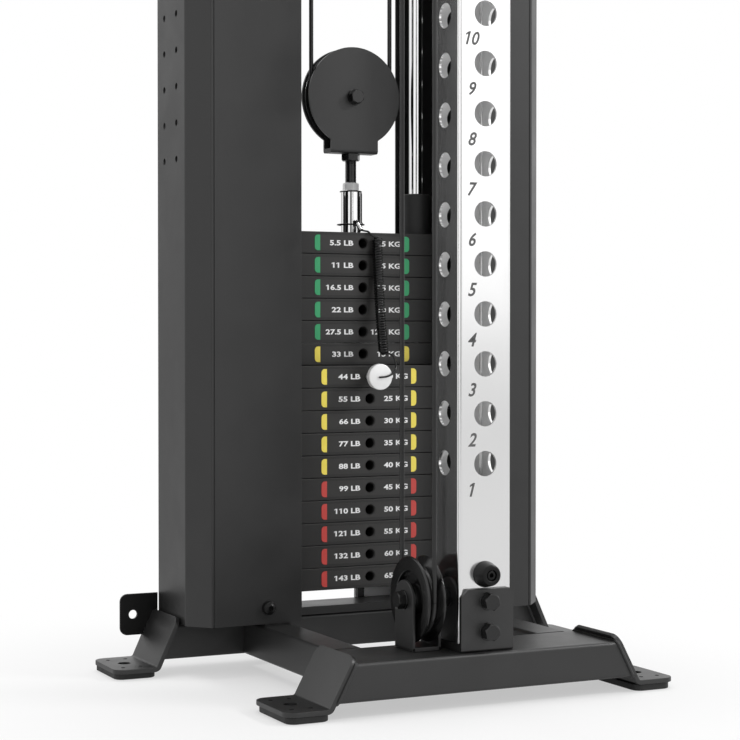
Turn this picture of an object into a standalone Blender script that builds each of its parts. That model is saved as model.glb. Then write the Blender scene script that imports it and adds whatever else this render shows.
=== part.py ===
"""Cable column with an adjustable carriage, a pin-selected weight stack and a welded foot frame.

Sizes below are in millimetres, in a working frame with X = 0 on the machine's centre plane,
Y = 0 on the front face of the drilled column and Z = 0 on the floor. Front is -Y, up is +Z.
The finished model hangs on one empty that puts the origin under the middle of its box.
"""
import math

import bmesh
import bpy
from mathutils import Matrix, Vector

MM = 0.001
SEAT_GAP = 0.3

# Foot frame
BEAM_HEIGHT = 38.0
BEAM_BOTTOM = 16.0
BEAM_CORNER = 3.5
FRONT_BEAM_DEPTH = 86.0
FRONT_BEAM_OVERHANG = 13.0
REAR_BEAM_FRONT = 298.0
REAR_BEAM_DEPTH = 50.0
SIDE_BEAM_INNER = 102.0
SIDE_BEAM_WIDTH = 38.0
SHROUD_TAB_INSET = 4.0
SHROUD_TAB_RISE = 38.0
FOOT_PLATE = 5.0
FOOT_SLOPE_DEGREES = 61.0
FOOT_RISE_OVER_BEAM = 7.0
FOOT_TOE = 47.0
FOOT_TOE_CORNER = 13.0
FOOT_TOP_CORNER = 8.0
WELD_BITE = 1.0
FRONT_FOOT_BEND = 177.5
REAR_FOOT_OVERHANG = 15.0
REAR_FOOT_DEPTH = 84.0
PAD_HEIGHT = 6.7
PAD_INSET = 3.0
PAD_CORNER = 10.0
ANCHOR_HOLE = 7.0
BEAM_TOP = BEAM_BOTTOM + BEAM_HEIGHT
FOOT_BOTTOM = PAD_HEIGHT + SEAT_GAP
REAR_FOOT_FRONT = REAR_BEAM_FRONT - REAR_FOOT_OVERHANG
REAR_FOOT_BACK = REAR_FOOT_FRONT + REAR_FOOT_DEPTH

# Drilled column and its shoe
COLUMN_SIZE = 60.0
COLUMN_WALL = 2.5
COLUMN_CORNER = 3.0
COLUMN_TOP = 2050.0
SHOE_BASE = 8.4
SHOE_PLATE = 4.7
SHOE_HEIGHT = 62.7
SHOE_CHAMFER = 8.0
HOLE_SIDES = 8
HOLE_RADIUS = 13.4
HOLE_PITCH = 50.0
FIRST_HOLE = 242.0
HOLE_TOP_MARGIN = 200.0
BUMPER_RADIUS = 13.5
BUMPER_LENGTH = 14.0
BUMPER_OVER_SHOE = 0.5
BUMPER_RECESS = 4.5
HOLE_COUNT = int((COLUMN_TOP - HOLE_TOP_MARGIN - FIRST_HOLE) // HOLE_PITCH) + 1
COLUMN_BOTTOM = BEAM_TOP + SEAT_GAP + SHOE_BASE + SEAT_GAP
BUMPER_Z = BEAM_TOP + SEAT_GAP + SHOE_HEIGHT + BUMPER_OVER_SHOE + BUMPER_RADIUS

# Cable and pulleys
CABLE_RADIUS = 2.5
PITCH_RADIUS = 35.7
RIM_DEPTH = 7.8
GROOVE_CLEARANCE = 0.8
PULLEY_HALF_WIDTH = 10.0
PULLEY_HUB = 12.5
HUB_RADIUS = 12.0
AXLE_RADIUS = 5.0
AXLE_CLEARANCE = 0.25
BOLT_HEAD_RADIUS = 8.0
CABLE_FRONT_Y = 4.8
LOW_PULLEY_OVER_FLOOR = 3.7
BRACKET_PLATE = 3.0
BRACKET_CLEARANCE = 0.5
BRACKET_HALF_LENGTH = 20.0
NUT_LENGTH = 7.0
NUT_CLEARANCE = 2.0
PULLEY_RADIUS = PITCH_RADIUS + RIM_DEPTH
BRACKET_HALF_INNER = PULLEY_HUB + BRACKET_CLEARANCE
CABLE_X = -(COLUMN_SIZE / 2 + NUT_CLEARANCE + NUT_LENGTH + BRACKET_PLATE + BRACKET_HALF_INNER)
LOW_PULLEY_Z = BEAM_TOP + SEAT_GAP + BRACKET_PLATE + LOW_PULLEY_OVER_FLOOR + PULLEY_RADIUS
LOW_PULLEY_Y = CABLE_FRONT_Y + PITCH_RADIUS
CABLE_REAR_Y = LOW_PULLEY_Y + PITCH_RADIUS

# Weight stack
ROD_SETBACK = 17.0
PLATE_THICKNESS = 24.8
PLATE_COUNT = 16
SMALL_PLATES = 6
SMALL_HALF_WIDTH = 104.0
SMALL_DEPTH = 66.0
LARGE_HALF_WIDTH = 150.0
LARGE_DEPTH = 86.0
LARGE_BACK_REACH = 35.0
ROD_X = 84.5
ROD_RADIUS = 7.5
ROD_CLEARANCE = 1.0
SLEEVE_RADIUS = 17.0
SLEEVE_HEIGHT = 47.7
SELECTOR_RADIUS = 10.0
SELECTOR_CLEARANCE = 1.0
ROD_FOOT_RISE = 2.0
BASE_PLATE_THICKNESS = 9.0
BASE_PLATE_PAST_ROD = 25.5
BASE_PLATE_INSET = 1.0
BUFFER_RADIUS = 15.0
BUFFER_HEIGHT = 22.1
COLLAR_RADIUS = 11.5
COLLAR_HEIGHT = 49.3
COLLAR_RING = 16.0
COLLAR_RING_RISE = 8.4
COLLAR_RING_THICKNESS = 3.0
STACK_Y = REAR_BEAM_FRONT + ROD_SETBACK
BASE_PLATE_HALF = ROD_X + BASE_PLATE_PAST_ROD
SMALL_FRONT = STACK_Y - SMALL_DEPTH / 2
LARGE_FRONT = STACK_Y + LARGE_BACK_REACH - LARGE_DEPTH
PLATE_PITCH = PLATE_THICKNESS + SEAT_GAP
BASE_TOP = BEAM_TOP + SEAT_GAP + BASE_PLATE_THICKNESS
STACK_BOTTOM = BASE_TOP + SEAT_GAP + BUFFER_HEIGHT + SEAT_GAP
STACK_TOP = STACK_BOTTOM + PLATE_PITCH * (PLATE_COUNT - 1) + PLATE_THICKNESS

# Threaded end of the selector rod, and the travelling pulley on it
STEM_NUT = 8.0
STEM_NUT_RADIUS = 10.5
THREAD_RADIUS = 5.5
THREAD_LENGTH = 23.8
TOP_NUT = 10.0
TOP_NUT_RADIUS = 11.0
LIFT_PITCH_RADIUS = 49.7
LIFT_RIM_DEPTH = 5.8
LIFT_HALF_WIDTH = 6.5
YOKE_RIM = 1.5
YOKE_PLATE = 3.0
YOKE_HALF_INNER = 8.0
YOKE_FOOT_HALF = 29.5
YOKE_WEB = 6.0
YOKE_CLEARANCE = 2.5
YOKE_BOLT_RADIUS = 7.5
COLLAR_BOTTOM = STACK_TOP + SEAT_GAP
STEM_TOP = COLLAR_BOTTOM + COLLAR_HEIGHT + STEM_NUT + THREAD_LENGTH + TOP_NUT
LIFT_PULLEY_RADIUS = LIFT_PITCH_RADIUS + LIFT_RIM_DEPTH
YOKE_RADIUS = LIFT_PULLEY_RADIUS + YOKE_RIM
YOKE_FOOT_BOTTOM = STEM_TOP + SEAT_GAP
LIFT_PULLEY_Z = YOKE_FOOT_BOTTOM + YOKE_WEB + YOKE_CLEARANCE + LIFT_PULLEY_RADIUS

# Selector pin and its curled lanyard
SELECTED_PLATE = 7
PIN_RADIUS = 4.0
PIN_CLEARANCE = 1.4
KNOB_RADIUS = 15.0
KNOB_LENGTH = 6.5
KNOB_EDGE = 1.0
KNOB_TO_PLATE = 21.0
PIN_PAST_ROD = 8.0
COIL_RADIUS = 5.4
LANYARD_WIRE = 1.1
PIN_HOLE = PIN_RADIUS + PIN_CLEARANCE
KNOB_FRONT = LARGE_FRONT - KNOB_TO_PLATE - KNOB_LENGTH
PIN_END = STACK_Y + PIN_PAST_ROD

# Shrouds
SHEET = 2.0
SHROUD_FRONT_CLEARANCE = 18.0
SHROUD_REAR_CLEARANCE = 5.0
SHROUD_OUTER = 220.0
SHROUD_CHAMFER_WIDTH = 21.0
SHROUD_CHAMFER_DEPTH = 24.0
SHROUD_FRONT_EDGE = 93.0
SHROUD_REAR_EDGE = 78.0
SHROUD_LIFT = 2.0
SHROUD_OVER_COLUMN = 10.0
SHROUD_BOLT_INSET = 7.0
SHROUD_BOLT_RISE = 20.0
SHROUD_BOLT_RADIUS = 7.5
SHROUD_BOLT_HEAD = 8.0
NOTCH_CLEARANCE = 10.0
SHROUD_FRONT = LARGE_FRONT - SHROUD_FRONT_CLEARANCE - SHEET
SHROUD_REAR = STACK_Y + LARGE_BACK_REACH + SHROUD_REAR_CLEARANCE + SHEET
SHROUD_CHAMFER_X = SHROUD_OUTER - SHROUD_CHAMFER_WIDTH
SHROUD_CHAMFER_Y = SHROUD_FRONT + SHROUD_CHAMFER_DEPTH
SHROUD_BOTTOM = BEAM_TOP + SHROUD_LIFT
SHROUD_TOP = COLUMN_TOP + SHROUD_OVER_COLUMN
SHROUD_BOLT_X = SIDE_BEAM_INNER + SIDE_BEAM_WIDTH - SHROUD_BOLT_INSET
SHROUD_BOLT_Z = BEAM_TOP + SHROUD_BOLT_RISE

# Rear feet stand outside the shrouds, with the link plate on the left one
FOOT_OUTSIDE_SHROUD = 29.0
LINK_PAST_BEND = 15.0
LINK_BELOW_BEAM_TOP = 18.0
LINK_ABOVE_BEAM_TOP = 28.0
LINK_PLATE = 3.0
LINK_CORNER = 8.5
LINK_HOLE = 5.0
LINK_HOLE_EDGE = 15.0
LINK_SETBACK = 1.0
REAR_FOOT_BEND = SHROUD_OUTER + FOOT_OUTSIDE_SHROUD
LINK_OUTER = REAR_FOOT_BEND + LINK_PAST_BEND
LINK_BOTTOM = BEAM_TOP - LINK_BELOW_BEAM_TOP
LINK_TOP = BEAM_TOP + LINK_ABOVE_BEAM_TOP
LINK_HOLE_X = LINK_OUTER - LINK_HOLE_EDGE

# Top of the machine
TOP_BEAM_SIZE = 60.0
TOP_BEAM_WALL = 3.0
TOP_BEAM_OVERHANG = 10.0
TOP_BEAM_PAST_STACK = 50.0
TOP_PLATE = 8.0
TOP_PLATE_FRONT_GAP = 4.0
TOP_PLATE_REAR_GAP = 3.0
STRAND_HOLE = 8.0
UPPER_AXLE_RISE = 46.7
UPPER_PLATE_HALF = 15.0
UPPER_BOLT_HEAD = 6.0
FORK_BASE = 5.0
FORK_BASE_HALF = 26.0
FORK_BASE_GRIP = 20.0
FORK_BOLT_HEAD = 5.0
DIAGONAL_CLEARANCE = 1.2
TOP_BEAM_FRONT = -TOP_BEAM_OVERHANG
TOP_BEAM_REAR = STACK_Y + TOP_BEAM_PAST_STACK
TOP_BEAM_BOTTOM = COLUMN_TOP + SEAT_GAP
TOP_BEAM_TOP = TOP_BEAM_BOTTOM + TOP_BEAM_SIZE
TOP_PLATE_FRONT = SHROUD_CHAMFER_Y + TOP_PLATE_FRONT_GAP
TOP_PLATE_REAR = SHROUD_REAR - SHEET - TOP_PLATE_REAR_GAP
UPPER_PULLEY_Z = TOP_BEAM_BOTTOM + UPPER_AXLE_RISE
DIAGONAL_PULLEY_Z = TOP_BEAM_TOP + FORK_BASE + DIAGONAL_CLEARANCE + PULLEY_RADIUS

# Carriage on the column
REST_HOLE = 16
SLIDE_CLEARANCE = 0.5
SLEEVE_WALL = 4.0
SLEEVE_CORNER = 5.0
SLEEVE_BELOW_PIN = 45.0
SLEEVE_ABOVE_EAR = 8.5
EXIT_PULLEY_RISE = 43.0
FORK_HALF_INNER = 12.0
EAR_CLEARANCE = 10.0
EAR_THICKNESS = 10.0
EAR_HALF = 17.0
EAR_CORNER = 12.0
PIVOT_RADIUS = 8.0
PIVOT_CLEARANCE = 0.3
PIVOT_SOCKET_FLOOR = 2.0
EXIT_BOLT_HEAD = 4.0
CABLE_BORE_CLEARANCE = 1.5
ANCHOR_BLOCK = 22.0
ANCHOR_HALF = 10.0
FORK_BEHIND_PIVOT = 9.2
FORK_WEB_AHEAD = 11.8
FORK_WEB = 6.0
NOSE_CLEARANCE = 9.6
NOSE_RISE = 15.0
STOP_PLATE = 4.0
BALL_RADIUS = 19.0
POP_CLEARANCE = 0.88
POP_BORE_CLEARANCE = 0.6
POP_TRAVEL = 10.0
POP_BOSS_RADIUS = 17.0
POP_BOSS_LENGTH = 25.5
POP_NECK_RADIUS = 6.0
POP_KNOB_RADIUS = 18.0
POP_KNOB_LENGTH = 23.0
HOOK_LENGTH = 62.0
HOOK_HALF_WIDTH = 15.0
HOOK_BAR = 7.0
HOOK_HALF_THICKNESS = 4.0
SLEEVE_OUTER = COLUMN_SIZE / 2 + SLIDE_CLEARANCE + SLEEVE_WALL
PIN_HOLE_Z = FIRST_HOLE + HOLE_PITCH * REST_HOLE
EXIT_PULLEY_Z = PIN_HOLE_Z + EXIT_PULLEY_RISE
EXIT_PULLEY_Y = CABLE_FRONT_Y - PITCH_RADIUS
EXIT_CABLE_Z = EXIT_PULLEY_Z - PITCH_RADIUS
EXIT_HUB = FORK_HALF_INNER - SEAT_GAP
UPPER_EAR = EXIT_PULLEY_Z + PULLEY_RADIUS + EAR_CLEARANCE
LOWER_EAR = EXIT_PULLEY_Z - PULLEY_RADIUS - EAR_CLEARANCE
ANCHOR_BOTTOM = LOWER_EAR - EAR_THICKNESS - ANCHOR_BLOCK
FORK_NOSE = EXIT_PULLEY_Y - PULLEY_RADIUS - NOSE_CLEARANCE
POP_RADIUS = HOLE_RADIUS * math.cos(math.pi / HOLE_SIDES) - POP_CLEARANCE
POP_BOSS_END = SLEEVE_OUTER + POP_BOSS_LENGTH
BALL_Y = FORK_NOSE - SEAT_GAP - BALL_RADIUS
HOOK_BACK = BALL_Y - BALL_RADIUS - SEAT_GAP
HOOK_TIP = HOOK_BACK - HOOK_LENGTH

# The origin lies under the middle of the model's box
ORIGIN_Y = (HOOK_TIP + REAR_FOOT_BACK) / 2

for old in list(bpy.data.objects):
    bpy.data.objects.remove(old, do_unlink=True)

ORIGIN = bpy.data.objects.new("machine_origin", None)
ORIGIN.location = (0, -ORIGIN_Y * MM, 0)
bpy.context.scene.collection.objects.link(ORIGIN)


# Materials
def finish(name, colour, roughness, metallic=0.0):
    """One Principled material with the colour, roughness and metallic value of the real finish."""
    made = bpy.data.materials.new(name)
    made.use_nodes = True
    shader = made.node_tree.nodes["Principled BSDF"]
    shader.inputs["Base Color"].default_value = (*colour, 1.0)
    shader.inputs["Roughness"].default_value = roughness
    shader.inputs["Metallic"].default_value = metallic
    return made


POWDER = finish("black_powder_coat", (0.055, 0.055, 0.06), 0.5)
PLATE_BLACK = finish("plate_black", (0.05, 0.05, 0.05), 0.55)
CHROME = finish("chrome", (0.78, 0.78, 0.8), 0.12, 1.0)
RUBBER = finish("black_rubber", (0.03, 0.03, 0.03), 0.75)
NYLON = finish("pulley_nylon", (0.035, 0.035, 0.038), 0.4)
CABLE_COAT = finish("cable_coat", (0.04, 0.04, 0.045), 0.35)


# Shapes
def place(name, mesh_in_mm, material, origin=(0, 0, 0), cutter=False):
    """Links one object whose own origin is at the given point of the working frame."""
    at = Vector(origin)
    for vertex in mesh_in_mm.verts:
        vertex.co = (vertex.co - at) * MM
    mesh = bpy.data.meshes.new(name)
    mesh_in_mm.to_mesh(mesh)
    mesh_in_mm.free()
    piece = bpy.data.objects.new(name, mesh)
    piece.location = at * MM
    piece.parent = ORIGIN
    bpy.context.scene.collection.objects.link(piece)
    if cutter:
        piece.hide_render = True
        piece.display_type = "WIRE"
    else:
        mesh.materials.append(material)
    return piece


def axes_for(direction):
    """Two unit vectors at right angles to a direction, and the direction itself."""
    along = Vector(direction).normalized()
    side = Vector((0, 0, 1)) if abs(along.z) < 0.9 else Vector((1, 0, 0))
    across = (side - along * side.dot(along)).normalized()
    return across, along.cross(across), along


def rounded(corners):
    """An outline whose corners (a, b, radius) become arcs of three steps where a radius is given."""
    outline = []
    count = len(corners)
    for i, (a, b, radius) in enumerate(corners):
        here = Vector((a, b))
        if radius <= 0:
            outline.append((a, b))
            continue
        before = (Vector(corners[i - 1][:2]) - here).normalized()
        after = (Vector(corners[(i + 1) % count][:2]) - here).normalized()
        half = before.angle(after) / 2
        reach = radius / math.tan(half)
        centre = here + (before + after).normalized() * (radius / math.sin(half))
        start = here + before * reach - centre
        end = here + after * reach - centre
        turn = start.angle_signed(end)
        for step in range(4):
            angle = -turn * step / 3
            point = centre + Matrix.Rotation(angle, 2) @ start
            outline.append((point.x, point.y))
    return outline


def box_outline(low_a, high_a, low_b, high_b, radius=0.0):
    corners = ((low_a, low_b), (high_a, low_b), (high_a, high_b), (low_a, high_b))
    return rounded([(a, b, radius) for a, b in corners])


def add_prism(mesh, outline, low, high, axis):
    """Adds a closed outline pushed from low to high along X, Y or Z."""
    def at(a, b, c):
        return {"X": (c, a, b), "Y": (a, c, b), "Z": (a, b, c)}[axis]

    bottom = [mesh.verts.new(at(a, b, low)) for a, b in outline]
    top = [mesh.verts.new(at(a, b, high)) for a, b in outline]
    count = len(outline)
    faces = [mesh.faces.new(bottom), mesh.faces.new(top)]
    for i in range(count):
        j = (i + 1) % count
        faces.append(mesh.faces.new((bottom[i], bottom[j], top[j], top[i])))
    bmesh.ops.recalc_face_normals(mesh, faces=faces)


def prism(name, outline, low, high, axis, material=None, origin=(0, 0, 0)):
    mesh = bmesh.new()
    add_prism(mesh, outline, low, high, axis)
    return place(name, mesh, material, origin, cutter=material is None)


def box(name, low, high, material=None, origin=(0, 0, 0)):
    outline = box_outline(low[0], high[0], low[1], high[1])
    return prism(name, outline, low[2], high[2], "Z", material, origin)


def add_turned(mesh, profile, centre, direction, sides):
    """Turns a profile of (radius, place along the axis). A profile that never touches the axis
    closes on itself and leaves a bore."""
    across, other, along = axes_for(direction)
    middle = Vector(centre)
    rings = []
    for radius, place_along in profile:
        base = middle + along * place_along
        if radius < 1e-6:
            rings.append([mesh.verts.new(base)])
            continue
        ring = []
        for i in range(sides):
            angle = 2 * math.pi * (i + 0.5) / sides
            spoke = across * math.cos(angle) + other * math.sin(angle)
            ring.append(mesh.verts.new(base + spoke * radius))
        rings.append(ring)
    pairs = list(zip(rings, rings[1:]))
    if len(rings[0]) > 1:
        pairs.append((rings[-1], rings[0]))
    faces = []
    for first, second in pairs:
        for i in range(sides):
            j = (i + 1) % sides
            if len(first) == 1:
                faces.append(mesh.faces.new((first[0], second[i], second[j])))
            elif len(second) == 1:
                faces.append(mesh.faces.new((first[i], second[0], first[j])))
            else:
                faces.append(mesh.faces.new((first[i], second[i], second[j], first[j])))
    bmesh.ops.recalc_face_normals(mesh, faces=faces)


def turned(name, profile, centre, direction, sides, material=None, origin=(0, 0, 0)):
    mesh = bmesh.new()
    add_turned(mesh, profile, centre, direction, sides)
    piece = place(name, mesh, material, origin, cutter=material is None)
    if material is not None:
        piece.data.shade_smooth()
        piece.data.set_sharp_from_angle(angle=math.radians(35))
    return piece


def bar_profile(radius, low, high):
    return [(0, low), (radius, low), (radius, high), (0, high)]


def bars(name, ends, radius, sides):
    """A cutter of separate round bars, each from one point to another."""
    mesh = bmesh.new()
    for start, end in ends:
        way = Vector(end) - Vector(start)
        add_turned(mesh, bar_profile(radius, 0, way.length), start, way, sides)
    return place(name, mesh, None, cutter=True)


def combine(piece, other, operation):
    step = piece.modifiers.new(operation.lower() + "_" + other.name, "BOOLEAN")
    step.object = other
    step.operation = operation
    step.solver = "EXACT"


def cut(piece, *cutters):
    for cutter in cutters:
        combine(piece, cutter, "DIFFERENCE")


def fuse(piece, *others):
    for other in others:
        combine(piece, other, "UNION")


def round_edges(piece, chosen, width, segments=3):
    """Bevels the edges for which chosen(middle, direction) is true, in working-frame millimetres."""
    mesh = bmesh.new()
    mesh.from_mesh(piece.data)
    shift = piece.location
    picked = []
    for edge in mesh.edges:
        ends = [(vertex.co + shift) / MM for vertex in edge.verts]
        if chosen((ends[0] + ends[1]) / 2, (ends[1] - ends[0]).normalized()):
            picked.append(edge)
    bmesh.ops.bevel(
        mesh, geom=picked, offset=width * MM, segments=segments, affect="EDGES", profile=0.5
    )
    mesh.to_mesh(piece.data)
    mesh.free()


def mirrored(outline):
    """The same outline on the other side of the centre plane."""
    return [(-a, b) for a, b in reversed(outline)]


# Foot frame
def foot_points(bend):
    """Corners of a foot's bent strip in the XZ plane, on the +X side, from the toe to the top."""
    slope = math.radians(FOOT_SLOPE_DEGREES)
    down = Vector((math.cos(slope), -math.sin(slope)))
    outward = Vector((math.sin(slope), math.cos(slope)))
    toe_top = FOOT_BOTTOM + FOOT_PLATE
    outer_bend = Vector((bend, toe_top))
    rise = BEAM_TOP + FOOT_RISE_OVER_BEAM - toe_top
    outer_top = outer_bend - down * (rise / math.sin(slope))
    inner_top = outer_top - outward * FOOT_PLATE
    inner_bend = inner_top + down * ((inner_top.y - FOOT_BOTTOM) / math.sin(slope))
    toe = bend + FOOT_TOE
    return inner_top, outer_top, outer_bend, inner_bend, toe


def inner_face_x(bend, height):
    """X of a foot's inner face at a height."""
    inner_top, _, _, inner_bend, _ = foot_points(bend)
    share = (inner_top.y - height) / (inner_top.y - inner_bend.y)
    return inner_top.x + (inner_bend.x - inner_top.x) * share


def foot_outline(bend):
    inner_top, outer_top, outer_bend, inner_bend, toe = foot_points(bend)
    toe_top = FOOT_BOTTOM + FOOT_PLATE
    return [
        tuple(inner_bend), (toe, FOOT_BOTTOM), (toe, toe_top),
        tuple(outer_bend), tuple(outer_top), tuple(inner_top),
    ]


def beam_outline(bend, bite):
    """A beam's front view, with ends that follow the feet and reach into them by the bite."""
    top = inner_face_x(bend, BEAM_TOP) + bite
    bottom = inner_face_x(bend, BEAM_BOTTOM) + bite
    return [(-bottom, BEAM_BOTTOM), (bottom, BEAM_BOTTOM), (top, BEAM_TOP), (-top, BEAM_TOP)]


def make_base_beam(name, front, depth, foot_front, foot_depth, bend):
    """One welded piece: the cross beam with a bent foot plate on each end."""
    beam = prism(name, beam_outline(bend, WELD_BITE), front, front + depth, "Y", POWDER)
    round_edges(beam, lambda middle, way: abs(way.x) > 0.99, BEAM_CORNER, 2)
    back = foot_front + foot_depth
    for side, outline in (("right", foot_outline(bend)), ("left", mirrored(foot_outline(bend)))):
        foot = prism(name + "_" + side + "_foot", outline, foot_front, back, "Y")
        round_edges(
            foot,
            lambda middle, way: abs(way.z) > 0.99 and abs(middle.x) > bend + FOOT_TOE * 0.95,
            FOOT_TOE_CORNER,
        )
        top_z = BEAM_TOP + FOOT_RISE_OVER_BEAM
        round_edges(
            foot,
            lambda middle, way: abs(way.y) < 0.01 and abs(way.z) < 0.6 and middle.z > top_z - FOOT_PLATE,
            FOOT_TOP_CORNER,
        )
        fuse(beam, foot)
    middle_y = foot_front + foot_depth / 2
    hole_x = bend + FOOT_TOE / 2
    over = 2 * (FOOT_BOTTOM + FOOT_PLATE)
    ends = [((s * hole_x, middle_y, 0), (s * hole_x, middle_y, over)) for s in (-1, 1)]
    cut(beam, bars(name + "_anchor_holes", ends, ANCHOR_HOLE, 10))
    return beam


def make_pads(label, foot_front, foot_depth, bend):
    """Rubber pads under the toes, with the anchor hole through them."""
    for side, sign in (("left", -1), ("right", 1)):
        ends = sorted((sign * (bend + PAD_INSET), sign * (bend + FOOT_TOE - PAD_INSET)))
        outline = box_outline(
            ends[0], ends[1], foot_front + PAD_INSET, foot_front + foot_depth - PAD_INSET, PAD_CORNER
        )
        pad = prism("pad_" + label + "_" + side, outline, 0, PAD_HEIGHT, "Z", RUBBER)
        hole_x = sign * (bend + FOOT_TOE / 2)
        middle_y = foot_front + foot_depth / 2
        through = [((hole_x, middle_y, -PAD_HEIGHT), (hole_x, middle_y, 2 * PAD_HEIGHT))]
        cut(pad, bars(pad.name + "_hole", through, ANCHOR_HOLE, 10))


def make_side_beams():
    """Square tubes that join the two cross beams, each with the tab that holds a shroud."""
    low = FRONT_BEAM_DEPTH - FRONT_BEAM_OVERHANG + SEAT_GAP
    high = REAR_BEAM_FRONT - SEAT_GAP
    outer = SIDE_BEAM_INNER + SIDE_BEAM_WIDTH
    tab_front = SHROUD_FRONT + SHEET + SEAT_GAP
    for side, sign in (("left", -1), ("right", 1)):
        ends = sorted((sign * SIDE_BEAM_INNER, sign * outer))
        outline = box_outline(ends[0], ends[1], BEAM_BOTTOM, BEAM_TOP, BEAM_CORNER)
        beam = prism(side + "_side_beam", outline, low, high, "Y", POWDER)
        tab = box(
            side + "_shroud_tab",
            (ends[0] + SHROUD_TAB_INSET, tab_front, BEAM_TOP - WELD_BITE),
            (ends[1] - SHROUD_TAB_INSET, tab_front + FOOT_PLATE, BEAM_TOP + SHROUD_TAB_RISE),
        )
        fuse(beam, tab)


# Column
def make_column():
    outer = box_outline(
        -COLUMN_SIZE / 2, COLUMN_SIZE / 2, 0, COLUMN_SIZE, COLUMN_CORNER
    )
    inner = COLUMN_SIZE / 2 - COLUMN_WALL
    bore = box_outline(-inner, inner, COLUMN_WALL, COLUMN_SIZE - COLUMN_WALL)
    column = prism("column", outer, COLUMN_BOTTOM, COLUMN_TOP, "Z", CHROME)
    past = COLUMN_SIZE / 4
    cut(column, prism("column_bore", bore, COLUMN_BOTTOM - past, COLUMN_TOP + past, "Z"))
    heights = [FIRST_HOLE + HOLE_PITCH * i for i in range(HOLE_COUNT)]
    middle = COLUMN_SIZE / 2
    front_back = [((0, -past, z), (0, COLUMN_SIZE + past, z)) for z in heights]
    left_right = [((-middle - past, middle, z), (middle + past, middle, z)) for z in heights]
    cut(
        column,
        bars("column_front_holes", front_back, HOLE_RADIUS, HOLE_SIDES),
        bars("column_side_holes", left_right, HOLE_RADIUS, HOLE_SIDES),
    )


def make_shoe():
    """U-shaped shoe: a base plate under the column with a plate up its front and its back."""
    front = -SEAT_GAP - SHOE_PLATE
    back = COLUMN_SIZE + SEAT_GAP + SHOE_PLATE
    bottom = BEAM_TOP + SEAT_GAP
    top = bottom + SHOE_HEIGHT
    floor = bottom + SHOE_BASE
    outline = [
        (front, bottom), (back, bottom), (back, top), (back - SHOE_PLATE, top),
        (back - SHOE_PLATE, floor), (front + SHOE_PLATE, floor), (front + SHOE_PLATE, top), (front, top),
    ]
    half = COLUMN_SIZE / 2
    shoe = prism("column_shoe", outline, -half, half, "X", POWDER)
    round_edges(
        shoe,
        lambda middle, way: abs(way.y) > 0.99 and middle.z > floor + 1 and abs(middle.x) > half / 2,
        SHOE_CHAMFER,
        1,
    )


def make_bumper():
    """Rubber stop under the carriage, with a ring-shaped recess in its face."""
    back = -SEAT_GAP
    face = back - BUMPER_LENGTH
    profile = [
        (0, back), (BUMPER_RADIUS, back), (BUMPER_RADIUS, face + 2), (BUMPER_RADIUS - 2, face),
        (BUMPER_RADIUS - BUMPER_RECESS, face), (BUMPER_RADIUS - BUMPER_RECESS, face + 3),
        (BUMPER_RADIUS - 2 * BUMPER_RECESS, face + 3), (BUMPER_RADIUS - 2 * BUMPER_RECESS, face + 1),
        (0, face + 1),
    ]
    turned("carriage_bumper", profile, (0, 0, BUMPER_Z), (0, 1, 0), 16, RUBBER)


# Pulleys
def pulley_profile(radius, pitch, half_width, hub):
    groove = pitch - CABLE_RADIUS - GROOVE_CLEARANCE
    bore = AXLE_RADIUS + AXLE_CLEARANCE
    floor = CABLE_RADIUS + SEAT_GAP
    return [
        (bore, -hub), (HUB_RADIUS, -hub), (HUB_RADIUS, -half_width), (radius, -half_width),
        (groove, -floor), (groove, floor),
        (radius, half_width), (HUB_RADIUS, half_width), (HUB_RADIUS, hub), (bore, hub),
    ]


def axle_bolt(outer, head):
    """Profile of a bolt through two cheeks whose outer faces lie at +-outer, with a head and a nut."""
    return [
        (0, -outer - head), (BOLT_HEAD_RADIUS, -outer - head), (BOLT_HEAD_RADIUS, -outer + 0.5),
        (AXLE_RADIUS, -outer + 0.5), (AXLE_RADIUS, outer - 0.5), (BOLT_HEAD_RADIUS, outer - 0.5),
        (BOLT_HEAD_RADIUS, outer + head), (0, outer + head),
    ]


def make_pulley(name, centre, axis, hub=PULLEY_HUB):
    profile = pulley_profile(PULLEY_RADIUS, PITCH_RADIUS, PULLEY_HALF_WIDTH, hub)
    return turned(name, profile, centre, axis, 16, NYLON, origin=centre)


def make_low_bracket():
    """U bracket on the front beam with a round-topped cheek on each side and the axle bolt."""
    inner = BRACKET_HALF_INNER
    outer = inner + BRACKET_PLATE
    floor = BEAM_TOP + SEAT_GAP
    half = BRACKET_HALF_LENGTH
    web = box_outline(CABLE_X - outer, CABLE_X + outer, LOW_PULLEY_Y - half, LOW_PULLEY_Y + half)
    bracket = prism("low_pulley_bracket", web, floor, floor + BRACKET_PLATE, "Z", POWDER)
    arc = [math.pi * i / 8 for i in range(9)]
    weld = floor + BRACKET_PLATE / 3
    cheek = [(LOW_PULLEY_Y - half, weld), (LOW_PULLEY_Y + half, weld)]
    cheek += [(LOW_PULLEY_Y + half * math.cos(a), LOW_PULLEY_Z + half * math.sin(a)) for a in arc]
    for side, sign in (("left", -1), ("right", 1)):
        ends = sorted((CABLE_X + sign * inner, CABLE_X + sign * outer))
        fuse(bracket, prism("low_bracket_" + side, cheek, ends[0], ends[1], "X"))
    head = BOLT_HEAD_RADIUS + 1
    start = -outer - NUT_LENGTH - 2
    end = outer + NUT_LENGTH
    bolt = [
        (0, start), (head, start), (head, -outer + 0.5), (AXLE_RADIUS, -outer + 0.5),
        (AXLE_RADIUS, outer - 0.5), (BOLT_HEAD_RADIUS, outer - 0.5), (BOLT_HEAD_RADIUS, end), (0, end),
    ]
    fuse(bracket, turned("low_axle", bolt, (CABLE_X, LOW_PULLEY_Y, LOW_PULLEY_Z), (1, 0, 0), 10))


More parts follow.
